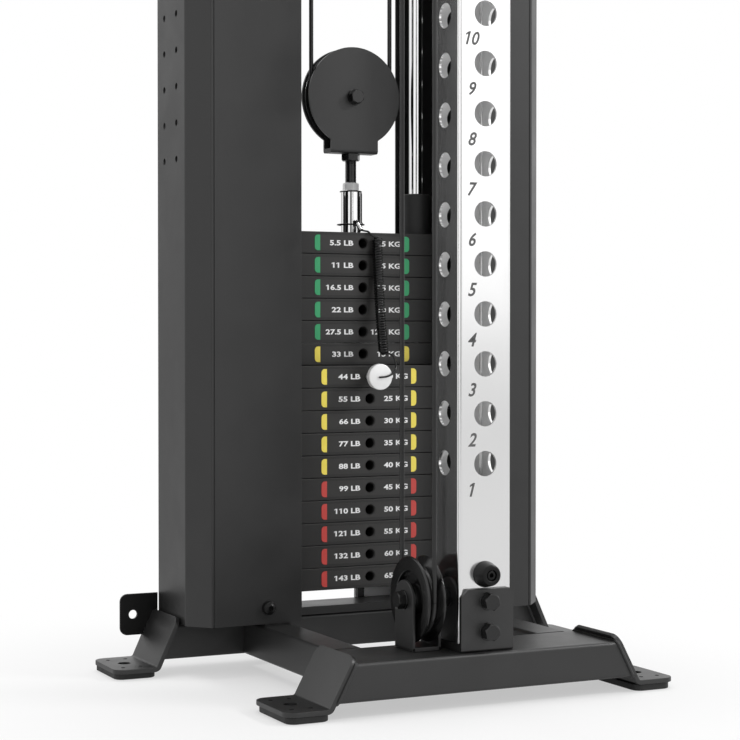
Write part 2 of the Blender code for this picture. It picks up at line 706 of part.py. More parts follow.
# Weight stack
def plate_top(row):
    return STACK_TOP - PLATE_PITCH * (row - 1)


def pin_height(row):
    return plate_top(row) - PLATE_THICKNESS / 2


def make_plates():
    """Sixteen plates. The pin holes run from the front face to the bore of the selector rod."""
    over = STACK_TOP + 2 * SLEEVE_HEIGHT
    rods = [((x, STACK_Y, 0), (x, STACK_Y, over)) for x in (-ROD_X, ROD_X)]
    rod_holes = bars("plate_rod_holes", rods, ROD_RADIUS + ROD_CLEARANCE, 8)
    middle_ends = [((0, STACK_Y, 0), (0, STACK_Y, over))]
    middle_hole = bars("plate_selector_hole", middle_ends, SELECTOR_RADIUS + SELECTOR_CLEARANCE, 10)
    rows = range(1, PLATE_COUNT + 1)
    pins = [((0, SHROUD_FRONT, pin_height(row)), (0, STACK_Y, pin_height(row))) for row in rows]
    pin_holes = bars("plate_pin_holes", pins, PIN_HOLE, 6)
    for row in rows:
        small = row <= SMALL_PLATES
        half = SMALL_HALF_WIDTH if small else LARGE_HALF_WIDTH
        front = SMALL_FRONT if small else LARGE_FRONT
        depth = SMALL_DEPTH if small else LARGE_DEPTH
        top = plate_top(row)
        plate = prism(
            f"weight_plate_{row:02d}",
            box_outline(-half, half, front, front + depth),
            top - PLATE_THICKNESS, top, "Z", PLATE_BLACK,
        )
        if row == 1:
            for side, x in (("left", -ROD_X), ("right", ROD_X)):
                foot = STACK_TOP - PLATE_THICKNESS / 5
                sleeve = bar_profile(SLEEVE_RADIUS, foot, STACK_TOP + SLEEVE_HEIGHT)
                fuse(plate, turned(side + "_sleeve", sleeve, (x, STACK_Y, 0), (0, 0, 1), 16))
        cut(plate, rod_holes, middle_hole, pin_holes)


def make_selector_rod():
    """The drilled rod in the stack, the collar on the top plate, the threaded end and its nuts."""
    foot = STACK_BOTTOM + ROD_FOOT_RISE
    ring = COLLAR_BOTTOM + COLLAR_RING_RISE
    ring_top = ring + COLLAR_RING_THICKNESS
    collar_top = COLLAR_BOTTOM + COLLAR_HEIGHT
    thread = collar_top + STEM_NUT
    nut = STEM_TOP - TOP_NUT
    profile = [
        (0, foot), (SELECTOR_RADIUS, foot), (SELECTOR_RADIUS, COLLAR_BOTTOM),
        (COLLAR_RADIUS, COLLAR_BOTTOM), (COLLAR_RADIUS, ring), (COLLAR_RING, ring),
        (COLLAR_RING, ring_top), (COLLAR_RADIUS, ring_top), (COLLAR_RADIUS, collar_top),
        (STEM_NUT_RADIUS, collar_top), (STEM_NUT_RADIUS, thread), (THREAD_RADIUS, thread),
        (THREAD_RADIUS, nut), (TOP_NUT_RADIUS, nut), (TOP_NUT_RADIUS, STEM_TOP), (0, STEM_TOP),
    ]
    rod = turned("selector_rod", profile, (0, STACK_Y, 0), (0, 0, 1), 12, CHROME)
    rows = range(1, PLATE_COUNT + 1)
    reach = 2 * SELECTOR_RADIUS
    holes = [
        ((0, STACK_Y - reach, pin_height(row)), (0, STACK_Y + reach, pin_height(row))) for row in rows
    ]
    cut(rod, bars("selector_rod_holes", holes, PIN_HOLE, 6))


def make_guide_rods():
    low = BASE_TOP + SEAT_GAP
    high = TOP_BEAM_BOTTOM - SEAT_GAP - TOP_PLATE - SEAT_GAP
    for side, x in (("left", -ROD_X), ("right", ROD_X)):
        centre = (x, STACK_Y, 0)
        turned(side + "_guide_rod", bar_profile(ROD_RADIUS, low, high), centre, (0, 0, 1), 12, CHROME)
        ring = [
            (ROD_RADIUS + SEAT_GAP, low), (BUFFER_RADIUS, low),
            (BUFFER_RADIUS, STACK_BOTTOM - SEAT_GAP), (ROD_RADIUS + SEAT_GAP, STACK_BOTTOM - SEAT_GAP),
        ]
        turned(side + "_buffer", ring, centre, (0, 0, 1), 12, RUBBER)
    back = REAR_BEAM_FRONT + REAR_BEAM_DEPTH - BASE_PLATE_INSET
    outline = box_outline(-BASE_PLATE_HALF, BASE_PLATE_HALF, REAR_BEAM_FRONT, back, 2)
    prism("stack_base_plate", outline, BEAM_TOP + SEAT_GAP, BASE_TOP, "Z", POWDER)


# Travelling pulley
def make_yoke():
    """Two round cheeks with a foot below, joined by a web, and the axle bolt through them."""
    inner = YOKE_HALF_INNER
    outer = inner + YOKE_PLATE
    web = box_outline(-YOKE_FOOT_HALF, YOKE_FOOT_HALF, STACK_Y - outer, STACK_Y + outer)
    yoke = prism("pulley_yoke", web, YOKE_FOOT_BOTTOM, YOKE_FOOT_BOTTOM + YOKE_WEB, "Z", POWDER)
    half_angle = math.asin(YOKE_FOOT_HALF / YOKE_RADIUS)
    sweep = 2 * math.pi - 2 * half_angle
    cheek = [(YOKE_FOOT_HALF, YOKE_FOOT_BOTTOM)]
    for i in range(23):
        angle = -math.pi / 2 + half_angle + sweep * i / 22
        cheek.append((YOKE_RADIUS * math.cos(angle), LIFT_PULLEY_Z + YOKE_RADIUS * math.sin(angle)))
    cheek.append((-YOKE_FOOT_HALF, YOKE_FOOT_BOTTOM))
    for side, low in (("front", STACK_Y - outer), ("rear", STACK_Y + inner)):
        fuse(yoke, prism("yoke_" + side, cheek, low, low + YOKE_PLATE, "Y"))
    bolt = [
        (0, -outer - 8), (YOKE_BOLT_RADIUS, -outer - 8), (YOKE_BOLT_RADIUS, -outer + 0.5),
        (AXLE_RADIUS, -outer + 0.5), (AXLE_RADIUS, outer - 0.5), (BOLT_HEAD_RADIUS, outer - 0.5),
        (BOLT_HEAD_RADIUS, outer + 6), (0, outer + 6),
    ]
    fuse(yoke, turned("yoke_axle", bolt, (0, STACK_Y, LIFT_PULLEY_Z), (0, 1, 0), 10))
    hub = YOKE_HALF_INNER - SEAT_GAP
    profile = pulley_profile(LIFT_PULLEY_RADIUS, LIFT_PITCH_RADIUS, LIFT_HALF_WIDTH, hub)
    centre = (0, STACK_Y, LIFT_PULLEY_Z)
    turned("travelling_pulley", profile, centre, (0, 1, 0), 24, NYLON, origin=centre)


# Selector pin and lanyard
def make_selector_pin():
    z = pin_height(SELECTED_PLATE)
    back = KNOB_FRONT + KNOB_LENGTH
    profile = [
        (0, KNOB_FRONT), (KNOB_RADIUS - KNOB_EDGE, KNOB_FRONT), (KNOB_RADIUS, KNOB_FRONT + KNOB_EDGE),
        (KNOB_RADIUS, back - KNOB_EDGE), (KNOB_RADIUS - KNOB_EDGE, back), (PIN_RADIUS, back),
        (PIN_RADIUS, PIN_END - PIN_RADIUS / 2), (PIN_RADIUS / 2, PIN_END), (0, PIN_END),
    ]
    turned("selector_pin", profile, (0, 0, z), (0, 1, 0), 16, CHROME, origin=(0, KNOB_FRONT, z))


def tube(name, points, radius, material, widths=None, origin=(0, 0, 0)):
    """A round cord along a list of points. Widths, where given, scale the radius point by point."""
    at = Vector(origin)
    curve = bpy.data.curves.new(name, "CURVE")
    curve.dimensions = "3D"
    curve.bevel_depth = radius * MM
    curve.bevel_resolution = 2
    curve.use_fill_caps = True
    spline = curve.splines.new("POLY")
    spline.points.add(len(points) - 1)
    for i, point in enumerate(points):
        spline.points[i].co = (*((Vector(point) - at) * MM), 1.0)
        spline.points[i].radius = widths[i] if widths else 1.0
    cord = bpy.data.objects.new(name, curve)
    cord.location = at * MM
    cord.parent = ORIGIN
    cord.data.materials.append(material)
    bpy.context.scene.collection.objects.link(cord)
    return cord


def smooth_route(knots, steps):
    """Points on one smooth curve through the knots, each knot being (x, y, z, width)."""
    route = []
    padded = [knots[0]] + list(knots) + [knots[-1]]
    for i in range(1, len(padded) - 2):
        a, b, c, d = (Vector(padded[i + k]) for k in (-1, 0, 1, 2))
        for step in range(steps):
            t = step / steps
            route.append(
                0.5 * (2 * b + (c - a) * t + (2 * a - 5 * b + 4 * c - d) * t * t
                       + (3 * b - a - 3 * c + d) * t * t * t)
            )
    route.append(Vector(padded[-2]))
    return route


def make_lanyard():
    """A thin wire from the collar's ring, a long curl in front of the plates, and a wire to the knob."""
    z = pin_height(SELECTED_PLATE)
    wire = LANYARD_WIRE / COIL_RADIUS
    knots = [
        (6.0, 297.0, 501.0, wire),
        (9.0, 285.0, 499.0, wire),
        (14.0, 275.8, 489.0, 0.8),
        (15.0, 275.8, 482.0, 1.0),
        (15.4, 274.0, 440.0, 1.0),
        (15.2, 268.0, 395.0, 1.0),
        (14.2, 258.0, 352.0, 1.0),
        (14.0, 256.8, 346.0, 0.8),
        (20.0, 250.0, 340.0, wire),
        (25.0, 243.0, 336.0, wire),
        (22.0, 236.0, 330.0, wire),
        (10.0, 234.8, z + 3.0, wire),
        (1.0, 235.0, z, wire),
    ]
    route = smooth_route(knots, 2)
    points = [tuple(knot[:3]) for knot in route]
    widths = [max(knot[3], wire) for knot in route]
    tube("pin_lanyard", points, COIL_RADIUS, RUBBER, widths)


# Shrouds and link plate
def shroud_outline(sign):
    """Plan of the bent sheet: front return, chamfer, side, rear return, then back along the inside."""
    t = SHEET
    bend = math.atan2(SHROUD_CHAMFER_Y - SHROUD_FRONT, SHROUD_OUTER - SHROUD_CHAMFER_X)
    front_shift = t * math.tan(bend / 2)
    side_shift = t * math.tan((math.pi / 2 - bend) / 2)
    outline = [
        (SHROUD_FRONT_EDGE, SHROUD_FRONT),
        (SHROUD_CHAMFER_X, SHROUD_FRONT),
        (SHROUD_OUTER, SHROUD_CHAMFER_Y),
        (SHROUD_OUTER, SHROUD_REAR),
        (SHROUD_REAR_EDGE, SHROUD_REAR),
        (SHROUD_REAR_EDGE, SHROUD_REAR - t),
        (SHROUD_OUTER - t, SHROUD_REAR - t),
        (SHROUD_OUTER - t, SHROUD_CHAMFER_Y + side_shift),
        (SHROUD_CHAMFER_X - front_shift, SHROUD_FRONT + t),
        (SHROUD_FRONT_EDGE, SHROUD_FRONT + t),
    ]
    return outline if sign > 0 else mirrored(outline)


def make_shrouds():
    for side, sign in (("left", -1), ("right", 1)):
        shroud = prism(side + "_shroud", shroud_outline(sign), SHROUD_BOTTOM, SHROUD_TOP, "Z", POWDER)
        foot_top = foot_points(REAR_FOOT_BEND)[0].x
        notch_x = sorted((sign * (foot_top - NOTCH_CLEARANCE), sign * (SHROUD_OUTER + 10)))
        notch = box(
            side + "_shroud_notch",
            (notch_x[0], REAR_FOOT_FRONT - NOTCH_CLEARANCE / 2, SHROUD_BOTTOM - 10),
            (notch_x[1], SHROUD_REAR + 10, BEAM_TOP + FOOT_RISE_OVER_BEAM + SHROUD_LIFT),
        )
        cut(shroud, notch)
        bolt = [
            (0, -SHROUD_BOLT_HEAD), (SHROUD_BOLT_RADIUS - 2.5, -SHROUD_BOLT_HEAD),
            (SHROUD_BOLT_RADIUS, -SHROUD_BOLT_HEAD + 2), (SHROUD_BOLT_RADIUS, SHEET / 4), (0, SHEET / 4),
        ]
        centre = (sign * SHROUD_BOLT_X, SHROUD_FRONT, SHROUD_BOLT_Z)
        fuse(shroud, turned(side + "_shroud_bolt", bolt, centre, (0, 1, 0), 10))


def make_link_plate():
    """Small plate on the outer slope of the left rear foot, for joining a second machine."""
    slope = math.radians(FOOT_SLOPE_DEGREES)
    toe_top = FOOT_BOTTOM + FOOT_PLATE

    def slope_x(z):
        return REAR_FOOT_BEND - (z - toe_top) / math.tan(slope) + SEAT_GAP / math.sin(slope)

    top_of_foot = BEAM_TOP + FOOT_RISE_OVER_BEAM
    inner = SHROUD_OUTER + 0.5
    corners = [
        (-LINK_OUTER, LINK_BOTTOM, LINK_CORNER),
        (-slope_x(LINK_BOTTOM), LINK_BOTTOM, 0),
        (-slope_x(top_of_foot), top_of_foot, 0),
        (-inner, top_of_foot + 1, 0),
        (-inner, LINK_TOP, 0),
        (-LINK_OUTER, LINK_TOP, LINK_CORNER),
    ]
    back = SHROUD_REAR - LINK_SETBACK
    plate = prism("link_plate", rounded(corners), back - LINK_PLATE, back, "Y", POWDER)
    hole_z = (LINK_BOTTOM + LINK_TOP) / 2
    ends = [((-LINK_HOLE_X, back - 10, hole_z), (-LINK_HOLE_X, back + 10, hole_z))]
    cut(plate, bars("link_hole", ends, LINK_HOLE, 12))


# Top of the machine
def diagonal():
    """Unit vectors along and across the cable run from the column's strand to the stack's."""
    start = Vector((CABLE_X, CABLE_FRONT_Y, 0))
    end = Vector((LIFT_PITCH_RADIUS, STACK_Y, 0))
    along = (end - start).normalized()
    across = Vector((along.y, -along.x, 0))
    return start, end, along, across


def diagonal_centres():
    start, end, along, _ = diagonal()
    high = Vector((0, 0, DIAGONAL_PULLEY_Z))
    return start + along * PITCH_RADIUS + high, end - along * PITCH_RADIUS + high


def make_fork(beam, name, centre):
    """Adds a welded fork to the top beam, turned to the diagonal run, on a plate across the beam."""
    _, _, along, across = diagonal()
    inner = BRACKET_HALF_INNER
    outer = inner + BRACKET_PLATE
    low = TOP_BEAM_TOP - WELD_BITE
    sign = math.copysign(1, centre.x)
    ends = sorted((centre.x + sign * FORK_BASE_HALF, -sign * FORK_BASE_GRIP))
    base = box(
        name + "_base",
        (ends[0], centre.y - FORK_BASE_HALF, low),
        (ends[1], centre.y + FORK_BASE_HALF, TOP_BEAM_TOP + FORK_BASE),
    )
    fuse(beam, base)
    half = BRACKET_HALF_LENGTH
    arc = [math.pi * i / 6 for i in range(7)]
    foot = TOP_BEAM_TOP + FORK_BASE - WELD_BITE
    cheek = [(-half, foot), (half, foot)]
    cheek += [(half * math.cos(a), DIAGONAL_PULLEY_Z + half * math.sin(a)) for a in arc]
    turn = Matrix((along, across, Vector((0, 0, 1)))).transposed()
    for label, low_side in (("near", -outer), ("far", inner)):
        mesh = bmesh.new()
        add_prism(mesh, cheek, low_side, low_side + BRACKET_PLATE, "Y")
        for vertex in mesh.verts:
            vertex.co = turn @ vertex.co + Vector((centre.x, centre.y, 0))
        bmesh.ops.recalc_face_normals(mesh, faces=mesh.faces[:])
        fuse(beam, place(name + "_" + label, mesh, None, cutter=True))
    bolt = axle_bolt(outer, FORK_BOLT_HEAD)
    fuse(beam, turned(name + "_axle", bolt, centre, across, 10))


def make_top():
    half = TOP_BEAM_SIZE / 2
    outer = box_outline(-half, half, TOP_BEAM_BOTTOM, TOP_BEAM_TOP, COLUMN_CORNER)
    beam = prism("top_beam", outer, TOP_BEAM_FRONT, TOP_BEAM_REAR, "Y", POWDER)
    past = TOP_BEAM_WALL
    inner = half - TOP_BEAM_WALL
    bore = box_outline(-inner, inner, TOP_BEAM_BOTTOM + TOP_BEAM_WALL, TOP_BEAM_TOP - TOP_BEAM_WALL)
    cut(beam, prism("top_beam_bore", bore, TOP_BEAM_FRONT - past, TOP_BEAM_REAR + past, "Y"))
    front, rear = diagonal_centres()
    make_fork(beam, "front_fork", front)
    make_fork(beam, "rear_fork", rear)

    top = TOP_BEAM_BOTTOM - SEAT_GAP
    half_plate = SHROUD_OUTER - SHEET - SEAT_GAP
    outline = box_outline(-half_plate, half_plate, TOP_PLATE_FRONT, TOP_PLATE_REAR)
    plate = prism("stack_top_plate", outline, top - TOP_PLATE, top, "Z", POWDER)
    sides = (-LIFT_PITCH_RADIUS, LIFT_PITCH_RADIUS)
    strands = [((x, STACK_Y, top - 2 * TOP_PLATE), (x, STACK_Y, top + TOP_PLATE)) for x in sides]
    cut(plate, bars("strand_holes", strands, STRAND_HOLE, 10))

    front_y = CABLE_REAR_Y + PITCH_RADIUS
    rear_y = STACK_Y - PITCH_RADIUS
    outer_face = CABLE_X - BRACKET_HALF_INNER - BRACKET_PLATE
    side = box_outline(
        front_y - UPPER_PLATE_HALF, rear_y + UPPER_PLATE_HALF,
        UPPER_PULLEY_Z - UPPER_PLATE_HALF, UPPER_PULLEY_Z + UPPER_PLATE_HALF, UPPER_PLATE_HALF - 1,
    )
    carrier = prism("upper_pulley_plate", side, outer_face, outer_face + BRACKET_PLATE, "X", POWDER)
    beam_face = -TOP_BEAM_SIZE / 2 - SEAT_GAP
    for label, y in (("front", front_y), ("rear", rear_y)):
        bolt = [
            (0, outer_face - UPPER_BOLT_HEAD), (BOLT_HEAD_RADIUS, outer_face - UPPER_BOLT_HEAD),
            (BOLT_HEAD_RADIUS, outer_face + 0.5), (AXLE_RADIUS, outer_face + 0.5),
            (AXLE_RADIUS, beam_face), (0, beam_face),
        ]
        fuse(carrier, turned("upper_axle_" + label, bolt, (0, y, UPPER_PULLEY_Z), (1, 0, 0), 10))


def make_pulleys():
    _, _, _, across = diagonal()
    front, rear = diagonal_centres()
    make_pulley("low_pulley", (CABLE_X, LOW_PULLEY_Y, LOW_PULLEY_Z), (1, 0, 0))
    front_y = CABLE_REAR_Y + PITCH_RADIUS
    rear_y = STACK_Y - PITCH_RADIUS
    make_pulley("front_top_pulley", (CABLE_X, front_y, UPPER_PULLEY_Z), (1, 0, 0))
    make_pulley("rear_top_pulley", (-LIFT_PITCH_RADIUS, rear_y, UPPER_PULLEY_Z), (1, 0, 0))
    make_pulley("front_diagonal_pulley", tuple(front), tuple(across))
    make_pulley("rear_diagonal_pulley", tuple(rear), tuple(across))
    make_pulley("exit_pulley", (CABLE_X, EXIT_PULLEY_Y, EXIT_PULLEY_Z), (1, 0, 0), EXIT_HUB)


# Carriage
def make_carriage():
    """Sleeve on the column, two ears that hold the swivelling fork, and the boss of the pop pin."""
    low = PIN_HOLE_Z - SLEEVE_BELOW_PIN
    high = UPPER_EAR + EAR_THICKNESS + SLEEVE_ABOVE_EAR
    middle = COLUMN_SIZE / 2
    inner = middle + SLIDE_CLEARANCE
    outer = SLEEVE_OUTER
    weld = SLEEVE_WALL / 3
    body = prism(
        "carriage",
        box_outline(-outer, outer, middle - outer, middle + outer, SLEEVE_CORNER),
        low, high, "Z", POWDER, origin=(0, middle, PIN_HOLE_Z),
    )
    ear_front = CABLE_FRONT_Y - EAR_HALF
    ear_rear = CABLE_FRONT_Y + EAR_HALF
    ear = rounded([
        (CABLE_X - EAR_HALF, ear_front, EAR_CORNER), (-outer + weld, ear_front, 0),
        (-outer + weld, ear_rear, 0), (CABLE_X - EAR_HALF, ear_rear, EAR_CORNER),
    ])
    fuse(
        body,
        prism("upper_ear", ear, UPPER_EAR, UPPER_EAR + EAR_THICKNESS, "Z"),
        prism("lower_ear", ear, LOWER_EAR - EAR_THICKNESS, LOWER_EAR, "Z"),
    )
    block = box(
        "cable_anchor",
        (CABLE_X - ANCHOR_HALF, CABLE_FRONT_Y - ANCHOR_HALF, ANCHOR_BOTTOM),
        (CABLE_X + ANCHOR_HALF, CABLE_FRONT_Y + ANCHOR_HALF, LOWER_EAR - EAR_THICKNESS / 2),
    )
    boss = turned(
        "pop_pin_boss", bar_profile(POP_BOSS_RADIUS, inner + weld, POP_BOSS_END),
        (0, middle, PIN_HOLE_Z), (1, 0, 0), 16,
    )
    fuse(body, block, boss)
    hole = PIVOT_RADIUS + PIVOT_CLEARANCE
    past = EAR_THICKNESS / 2
    pivots = turned(
        "upper_pivot_hole", bar_profile(hole, UPPER_EAR - past, UPPER_EAR + EAR_THICKNESS + past),
        (CABLE_X, CABLE_FRONT_Y, 0), (0, 0, 1), 16,
    )
    socket = turned(
        "lower_pivot_hole",
        bar_profile(hole, LOWER_EAR - EAR_THICKNESS + PIVOT_SOCKET_FLOOR, LOWER_EAR + past),
        (CABLE_X, CABLE_FRONT_Y, 0), (0, 0, 1), 16,
    )
    bore = prism(
        "carriage_bore",
        box_outline(-inner, inner, middle - inner, middle + inner, 2),
        low - past, high + past, "Z",
    )
    pin_bore = turned(
        "pop_pin_bore",
        bar_profile(POP_RADIUS + POP_BORE_CLEARANCE, middle - past, POP_BOSS_END + past),
        (0, middle, PIN_HOLE_Z), (1, 0, 0), 16,
    )
    cut(body, pivots, socket, bore, pin_bore)


def make_pop_pin():
    """Plunger, neck and knob of the locking pin, parked just outside the column."""
    middle = COLUMN_SIZE / 2
    tip = middle + SEAT_GAP
    knob = POP_BOSS_END + POP_TRAVEL + 1
    neck = POP_BOSS_END - POP_TRAVEL
    end = knob + POP_KNOB_LENGTH
    profile = [
        (0, tip), (POP_RADIUS - 1, tip), (POP_RADIUS, tip + 1), (POP_RADIUS, neck),
        (POP_NECK_RADIUS, neck), (POP_NECK_RADIUS, knob), (POP_KNOB_RADIUS - 3, knob),
        (POP_KNOB_RADIUS, knob + 4), (POP_KNOB_RADIUS, end - 7), (POP_KNOB_RADIUS - 5, end - 1), (0, end),
    ]
    centre = (0, middle, PIN_HOLE_Z)
    turned("pop_pin", profile, centre, (1, 0, 0), 16, RUBBER, origin=centre)


def make_swivel_fork():
    """Fork that turns on the line of the cable, with the exit pulley between its cheeks."""
    inner = FORK_HALF_INNER
    outer = inner + BRACKET_PLATE
    pivot = (CABLE_X, CABLE_FRONT_Y, EXIT_PULLEY_Z)
    low = LOWER_EAR + 1
    high = UPPER_EAR - 1
    tongue = inner + BRACKET_PLATE / 2
    rear = CABLE_FRONT_Y + FORK_BEHIND_PIVOT
    web_front = CABLE_FRONT_Y - FORK_WEB_AHEAD
    web = box_outline(CABLE_X - tongue, CABLE_X + tongue, web_front, rear - 1)
    fork = prism("swivel_fork", web, high - FORK_WEB - 1, high - 1, "Z", POWDER, origin=pivot)
    nose_top = EXIT_CABLE_Z + NOSE_RISE
    cheek = [
        (rear, low), (rear, high), (web_front - 1, high), (EXIT_PULLEY_Y - 16, EXIT_PULLEY_Z + 12),
        (FORK_NOSE, nose_top), (FORK_NOSE, low),
    ]
    fuse(
        fork,
        prism("fork_low_web", web, low + 1, low + FORK_WEB, "Z"),
        prism("fork_left", cheek, CABLE_X - outer, CABLE_X - inner, "X"),
        prism("fork_right", cheek, CABLE_X + inner, CABLE_X + outer, "X"),
        box(
            "fork_stop",
            (CABLE_X - tongue, FORK_NOSE + 1, low + 1),
            (CABLE_X + tongue, FORK_NOSE + 1 + STOP_PLATE, nose_top - 1),
        ),
        turned(
            "fork_upper_pivot",
            bar_profile(PIVOT_RADIUS, high - FORK_WEB / 2, UPPER_EAR + EAR_THICKNESS - 0.5),
            (CABLE_X, CABLE_FRONT_Y, 0), (0, 0, 1), 16,
        ),
        turned(
            "fork_lower_pivot",
            bar_profile(
                PIVOT_RADIUS, LOWER_EAR - EAR_THICKNESS + PIVOT_SOCKET_FLOOR + SEAT_GAP, low + FORK_WEB / 2
            ),
            (CABLE_X, CABLE_FRONT_Y, 0), (0, 0, 1), 16,
        ),
    )
    bolt = axle_bolt(outer, EXIT_BOLT_HEAD)
    fuse(fork, turned("exit_axle", bolt, (CABLE_X, EXIT_PULLEY_Y, EXIT_PULLEY_Z), (1, 0, 0), 10))
    over = UPPER_EAR + 2 * EAR_THICKNESS
    behind = FORK_NOSE + 2 * STOP_PLATE
    way_down = [((CABLE_X, CABLE_FRONT_Y, high - 2 * FORK_WEB), (CABLE_X, CABLE_FRONT_Y, over))]
    way_out = [((CABLE_X, FORK_NOSE - STOP_PLATE, EXIT_CABLE_Z), (CABLE_X, behind, EXIT_CABLE_Z))]
    cut(
        fork,
        bars("fork_cable_bore", way_down, CABLE_RADIUS + CABLE_BORE_CLEARANCE, 10),
        bars("fork_exit_hole", way_out, 2 * CABLE_RADIUS, 10),
    )


def make_cable_end():
    """Rubber stop ball at the cable's end, and the snap hook that takes a handle."""
    arc = [math.pi * i / 10 for i in range(11)]
    profile = [(BALL_RADIUS * math.sin(a), BALL_RADIUS * math.cos(a)) for a in arc]
    profile[0] = (0, BALL_RADIUS)
    profile[-1] = (0, -BALL_RADIUS)
    centre = (CABLE_X, BALL_Y, EXIT_CABLE_Z)
    turned("cable_stop_ball", profile, centre, (0, 1, 0), 14, RUBBER, origin=centre)
    outline = hook_outline(HOOK_LENGTH / 2, HOOK_HALF_WIDTH, 12)
    middle_y = HOOK_BACK - HOOK_LENGTH / 2
    shift = [(middle_y + a, EXIT_CABLE_Z + b) for a, b in outline]
    half = HOOK_HALF_THICKNESS
    hook = prism(
        "snap_hook", shift, CABLE_X - half, CABLE_X + half, "X", CHROME,
        origin=(CABLE_X, HOOK_BACK, EXIT_CABLE_Z),
    )
    eye = hook_outline(HOOK_LENGTH / 2 - HOOK_BAR, HOOK_HALF_WIDTH - HOOK_BAR, 12)
    hole = [(middle_y + a, EXIT_CABLE_Z + b) for a, b in eye]
    cut(hook, prism("snap_hook_eye", hole, CABLE_X - 2 * half, CABLE_X + 2 * half, "X"))


def hook_outline(half_length, half_width, steps):
    """A long oval with round ends."""
    straight = half_length - half_width
    outline = []
    for sign in (1, -1):
        for i in range(steps // 2 + 1):
            angle = -math.pi / 2 + 2 * math.pi * i / steps
            outline.append((
                sign * (straight + half_width * math.cos(angle)), sign * half_width * math.sin(angle)
            ))
    return outline


# Cable
def arc_points(centre, radius, first, second, start, end, steps):
    """Points on an arc, with the angle in degrees measured from the first axis to the second."""
    points = []
    for i in range(steps + 1):
        angle = math.radians(start + (end - start) * i / steps)
        points.append(tuple(
            Vector(centre) + (Vector(first) * math.cos(angle) + Vector(second) * math.sin(angle)) * radius
        ))
    return points


def make_cable():
    """One taut cable, cut where its stretches change length or ride on a moving piece."""
    up = (0, 0, 1)
    back = (0, 1, 0)
    right = (1, 0, 0)
    gap = SEAT_GAP / 2
    anchor = ANCHOR_BOTTOM - SEAT_GAP
    tube(
        "cable_low_strand",
        [(CABLE_X, CABLE_FRONT_Y, anchor), (CABLE_X, CABLE_FRONT_Y, LOW_PULLEY_Z + gap)],
        CABLE_RADIUS, CABLE_COAT,
    )
    front_y = CABLE_REAR_Y + PITCH_RADIUS
    rear_y = STACK_Y - PITCH_RADIUS
    run = [(CABLE_X, CABLE_FRONT_Y, LOW_PULLEY_Z - gap)]
    run += arc_points((CABLE_X, LOW_PULLEY_Y, LOW_PULLEY_Z), PITCH_RADIUS, back, up, 190, 360, 11)
    run += arc_points((CABLE_X, front_y, UPPER_PULLEY_Z), PITCH_RADIUS, back, up, 180, 90, 6)
    rear_x = -LIFT_PITCH_RADIUS
    run += arc_points((rear_x, rear_y, UPPER_PULLEY_Z), PITCH_RADIUS, back, up, 90, 5, 6)
    run.append((rear_x, STACK_Y, UPPER_PULLEY_Z + gap))
    tube("cable_return_run", run, CABLE_RADIUS, CABLE_COAT)

    loop = [(rear_x, STACK_Y, UPPER_PULLEY_Z - gap)]
    loop += arc_points((0, STACK_Y, LIFT_PULLEY_Z), LIFT_PITCH_RADIUS, right, up, 180, 360, 14)
    loop.append((LIFT_PITCH_RADIUS, STACK_Y, DIAGONAL_PULLEY_Z - gap))
    tube("cable_lift_loop", loop, CABLE_RADIUS, CABLE_COAT)

    _, _, along, _ = diagonal()
    front, rear = diagonal_centres()
    top = [(LIFT_PITCH_RADIUS, STACK_Y, DIAGONAL_PULLEY_Z + gap)]
    top += arc_points(rear, PITCH_RADIUS, along, up, 5, 90, 6)
    top += arc_points(front, PITCH_RADIUS, along, up, 90, 175, 6)
    top.append((CABLE_X, CABLE_FRONT_Y, DIAGONAL_PULLEY_Z + gap))
    tube("cable_top_run", top, CABLE_RADIUS, CABLE_COAT)

    upper = [(CABLE_X, CABLE_FRONT_Y, DIAGONAL_PULLEY_Z - gap)]
    upper += arc_points((CABLE_X, EXIT_PULLEY_Y, EXIT_PULLEY_Z), PITCH_RADIUS, back, up, 0, -90, 6)
    upper.append((CABLE_X, FORK_NOSE, EXIT_CABLE_Z))
    tube("cable_upper_strand", upper, CABLE_RADIUS, CABLE_COAT)


make_base_beam(
    "front_base_beam", -FRONT_BEAM_OVERHANG, FRONT_BEAM_DEPTH,
    -FRONT_BEAM_OVERHANG, FRONT_BEAM_DEPTH, FRONT_FOOT_BEND,
)
make_base_beam(
    "rear_base_beam", REAR_BEAM_FRONT, REAR_BEAM_DEPTH,
    REAR_FOOT_FRONT, REAR_FOOT_DEPTH, REAR_FOOT_BEND,
)
make_pads("front", -FRONT_BEAM_OVERHANG, FRONT_BEAM_DEPTH, FRONT_FOOT_BEND)
make_pads("rear", REAR_FOOT_FRONT, REAR_FOOT_DEPTH, REAR_FOOT_BEND)
make_side_beams()
make_column()
make_shoe()
make_bumper()
make_low_bracket()
make_plates()
make_selector_rod()
make_guide_rods()
make_yoke()
make_selector_pin()
make_lanyard()
make_shrouds()
make_link_plate()
make_top()
make_pulleys()
make_carriage()
make_pop_pin()
make_swivel_fork()
make_cable_end()
make_cable()
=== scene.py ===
"""Looks of the cable machine: fine meshes, finishes, labels, cables, floor and light.

Sizes are millimetres in the machine's working frame: X = 0 on the centre plane, Y = 0 on the
front face of the column, Z = 0 on the floor, and the front faces -Y. Each finished mesh is moved
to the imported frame, in metres, when its piece is made.
"""
import functools
import math

import bmesh
import bpy
from mathutils import Matrix, Vector


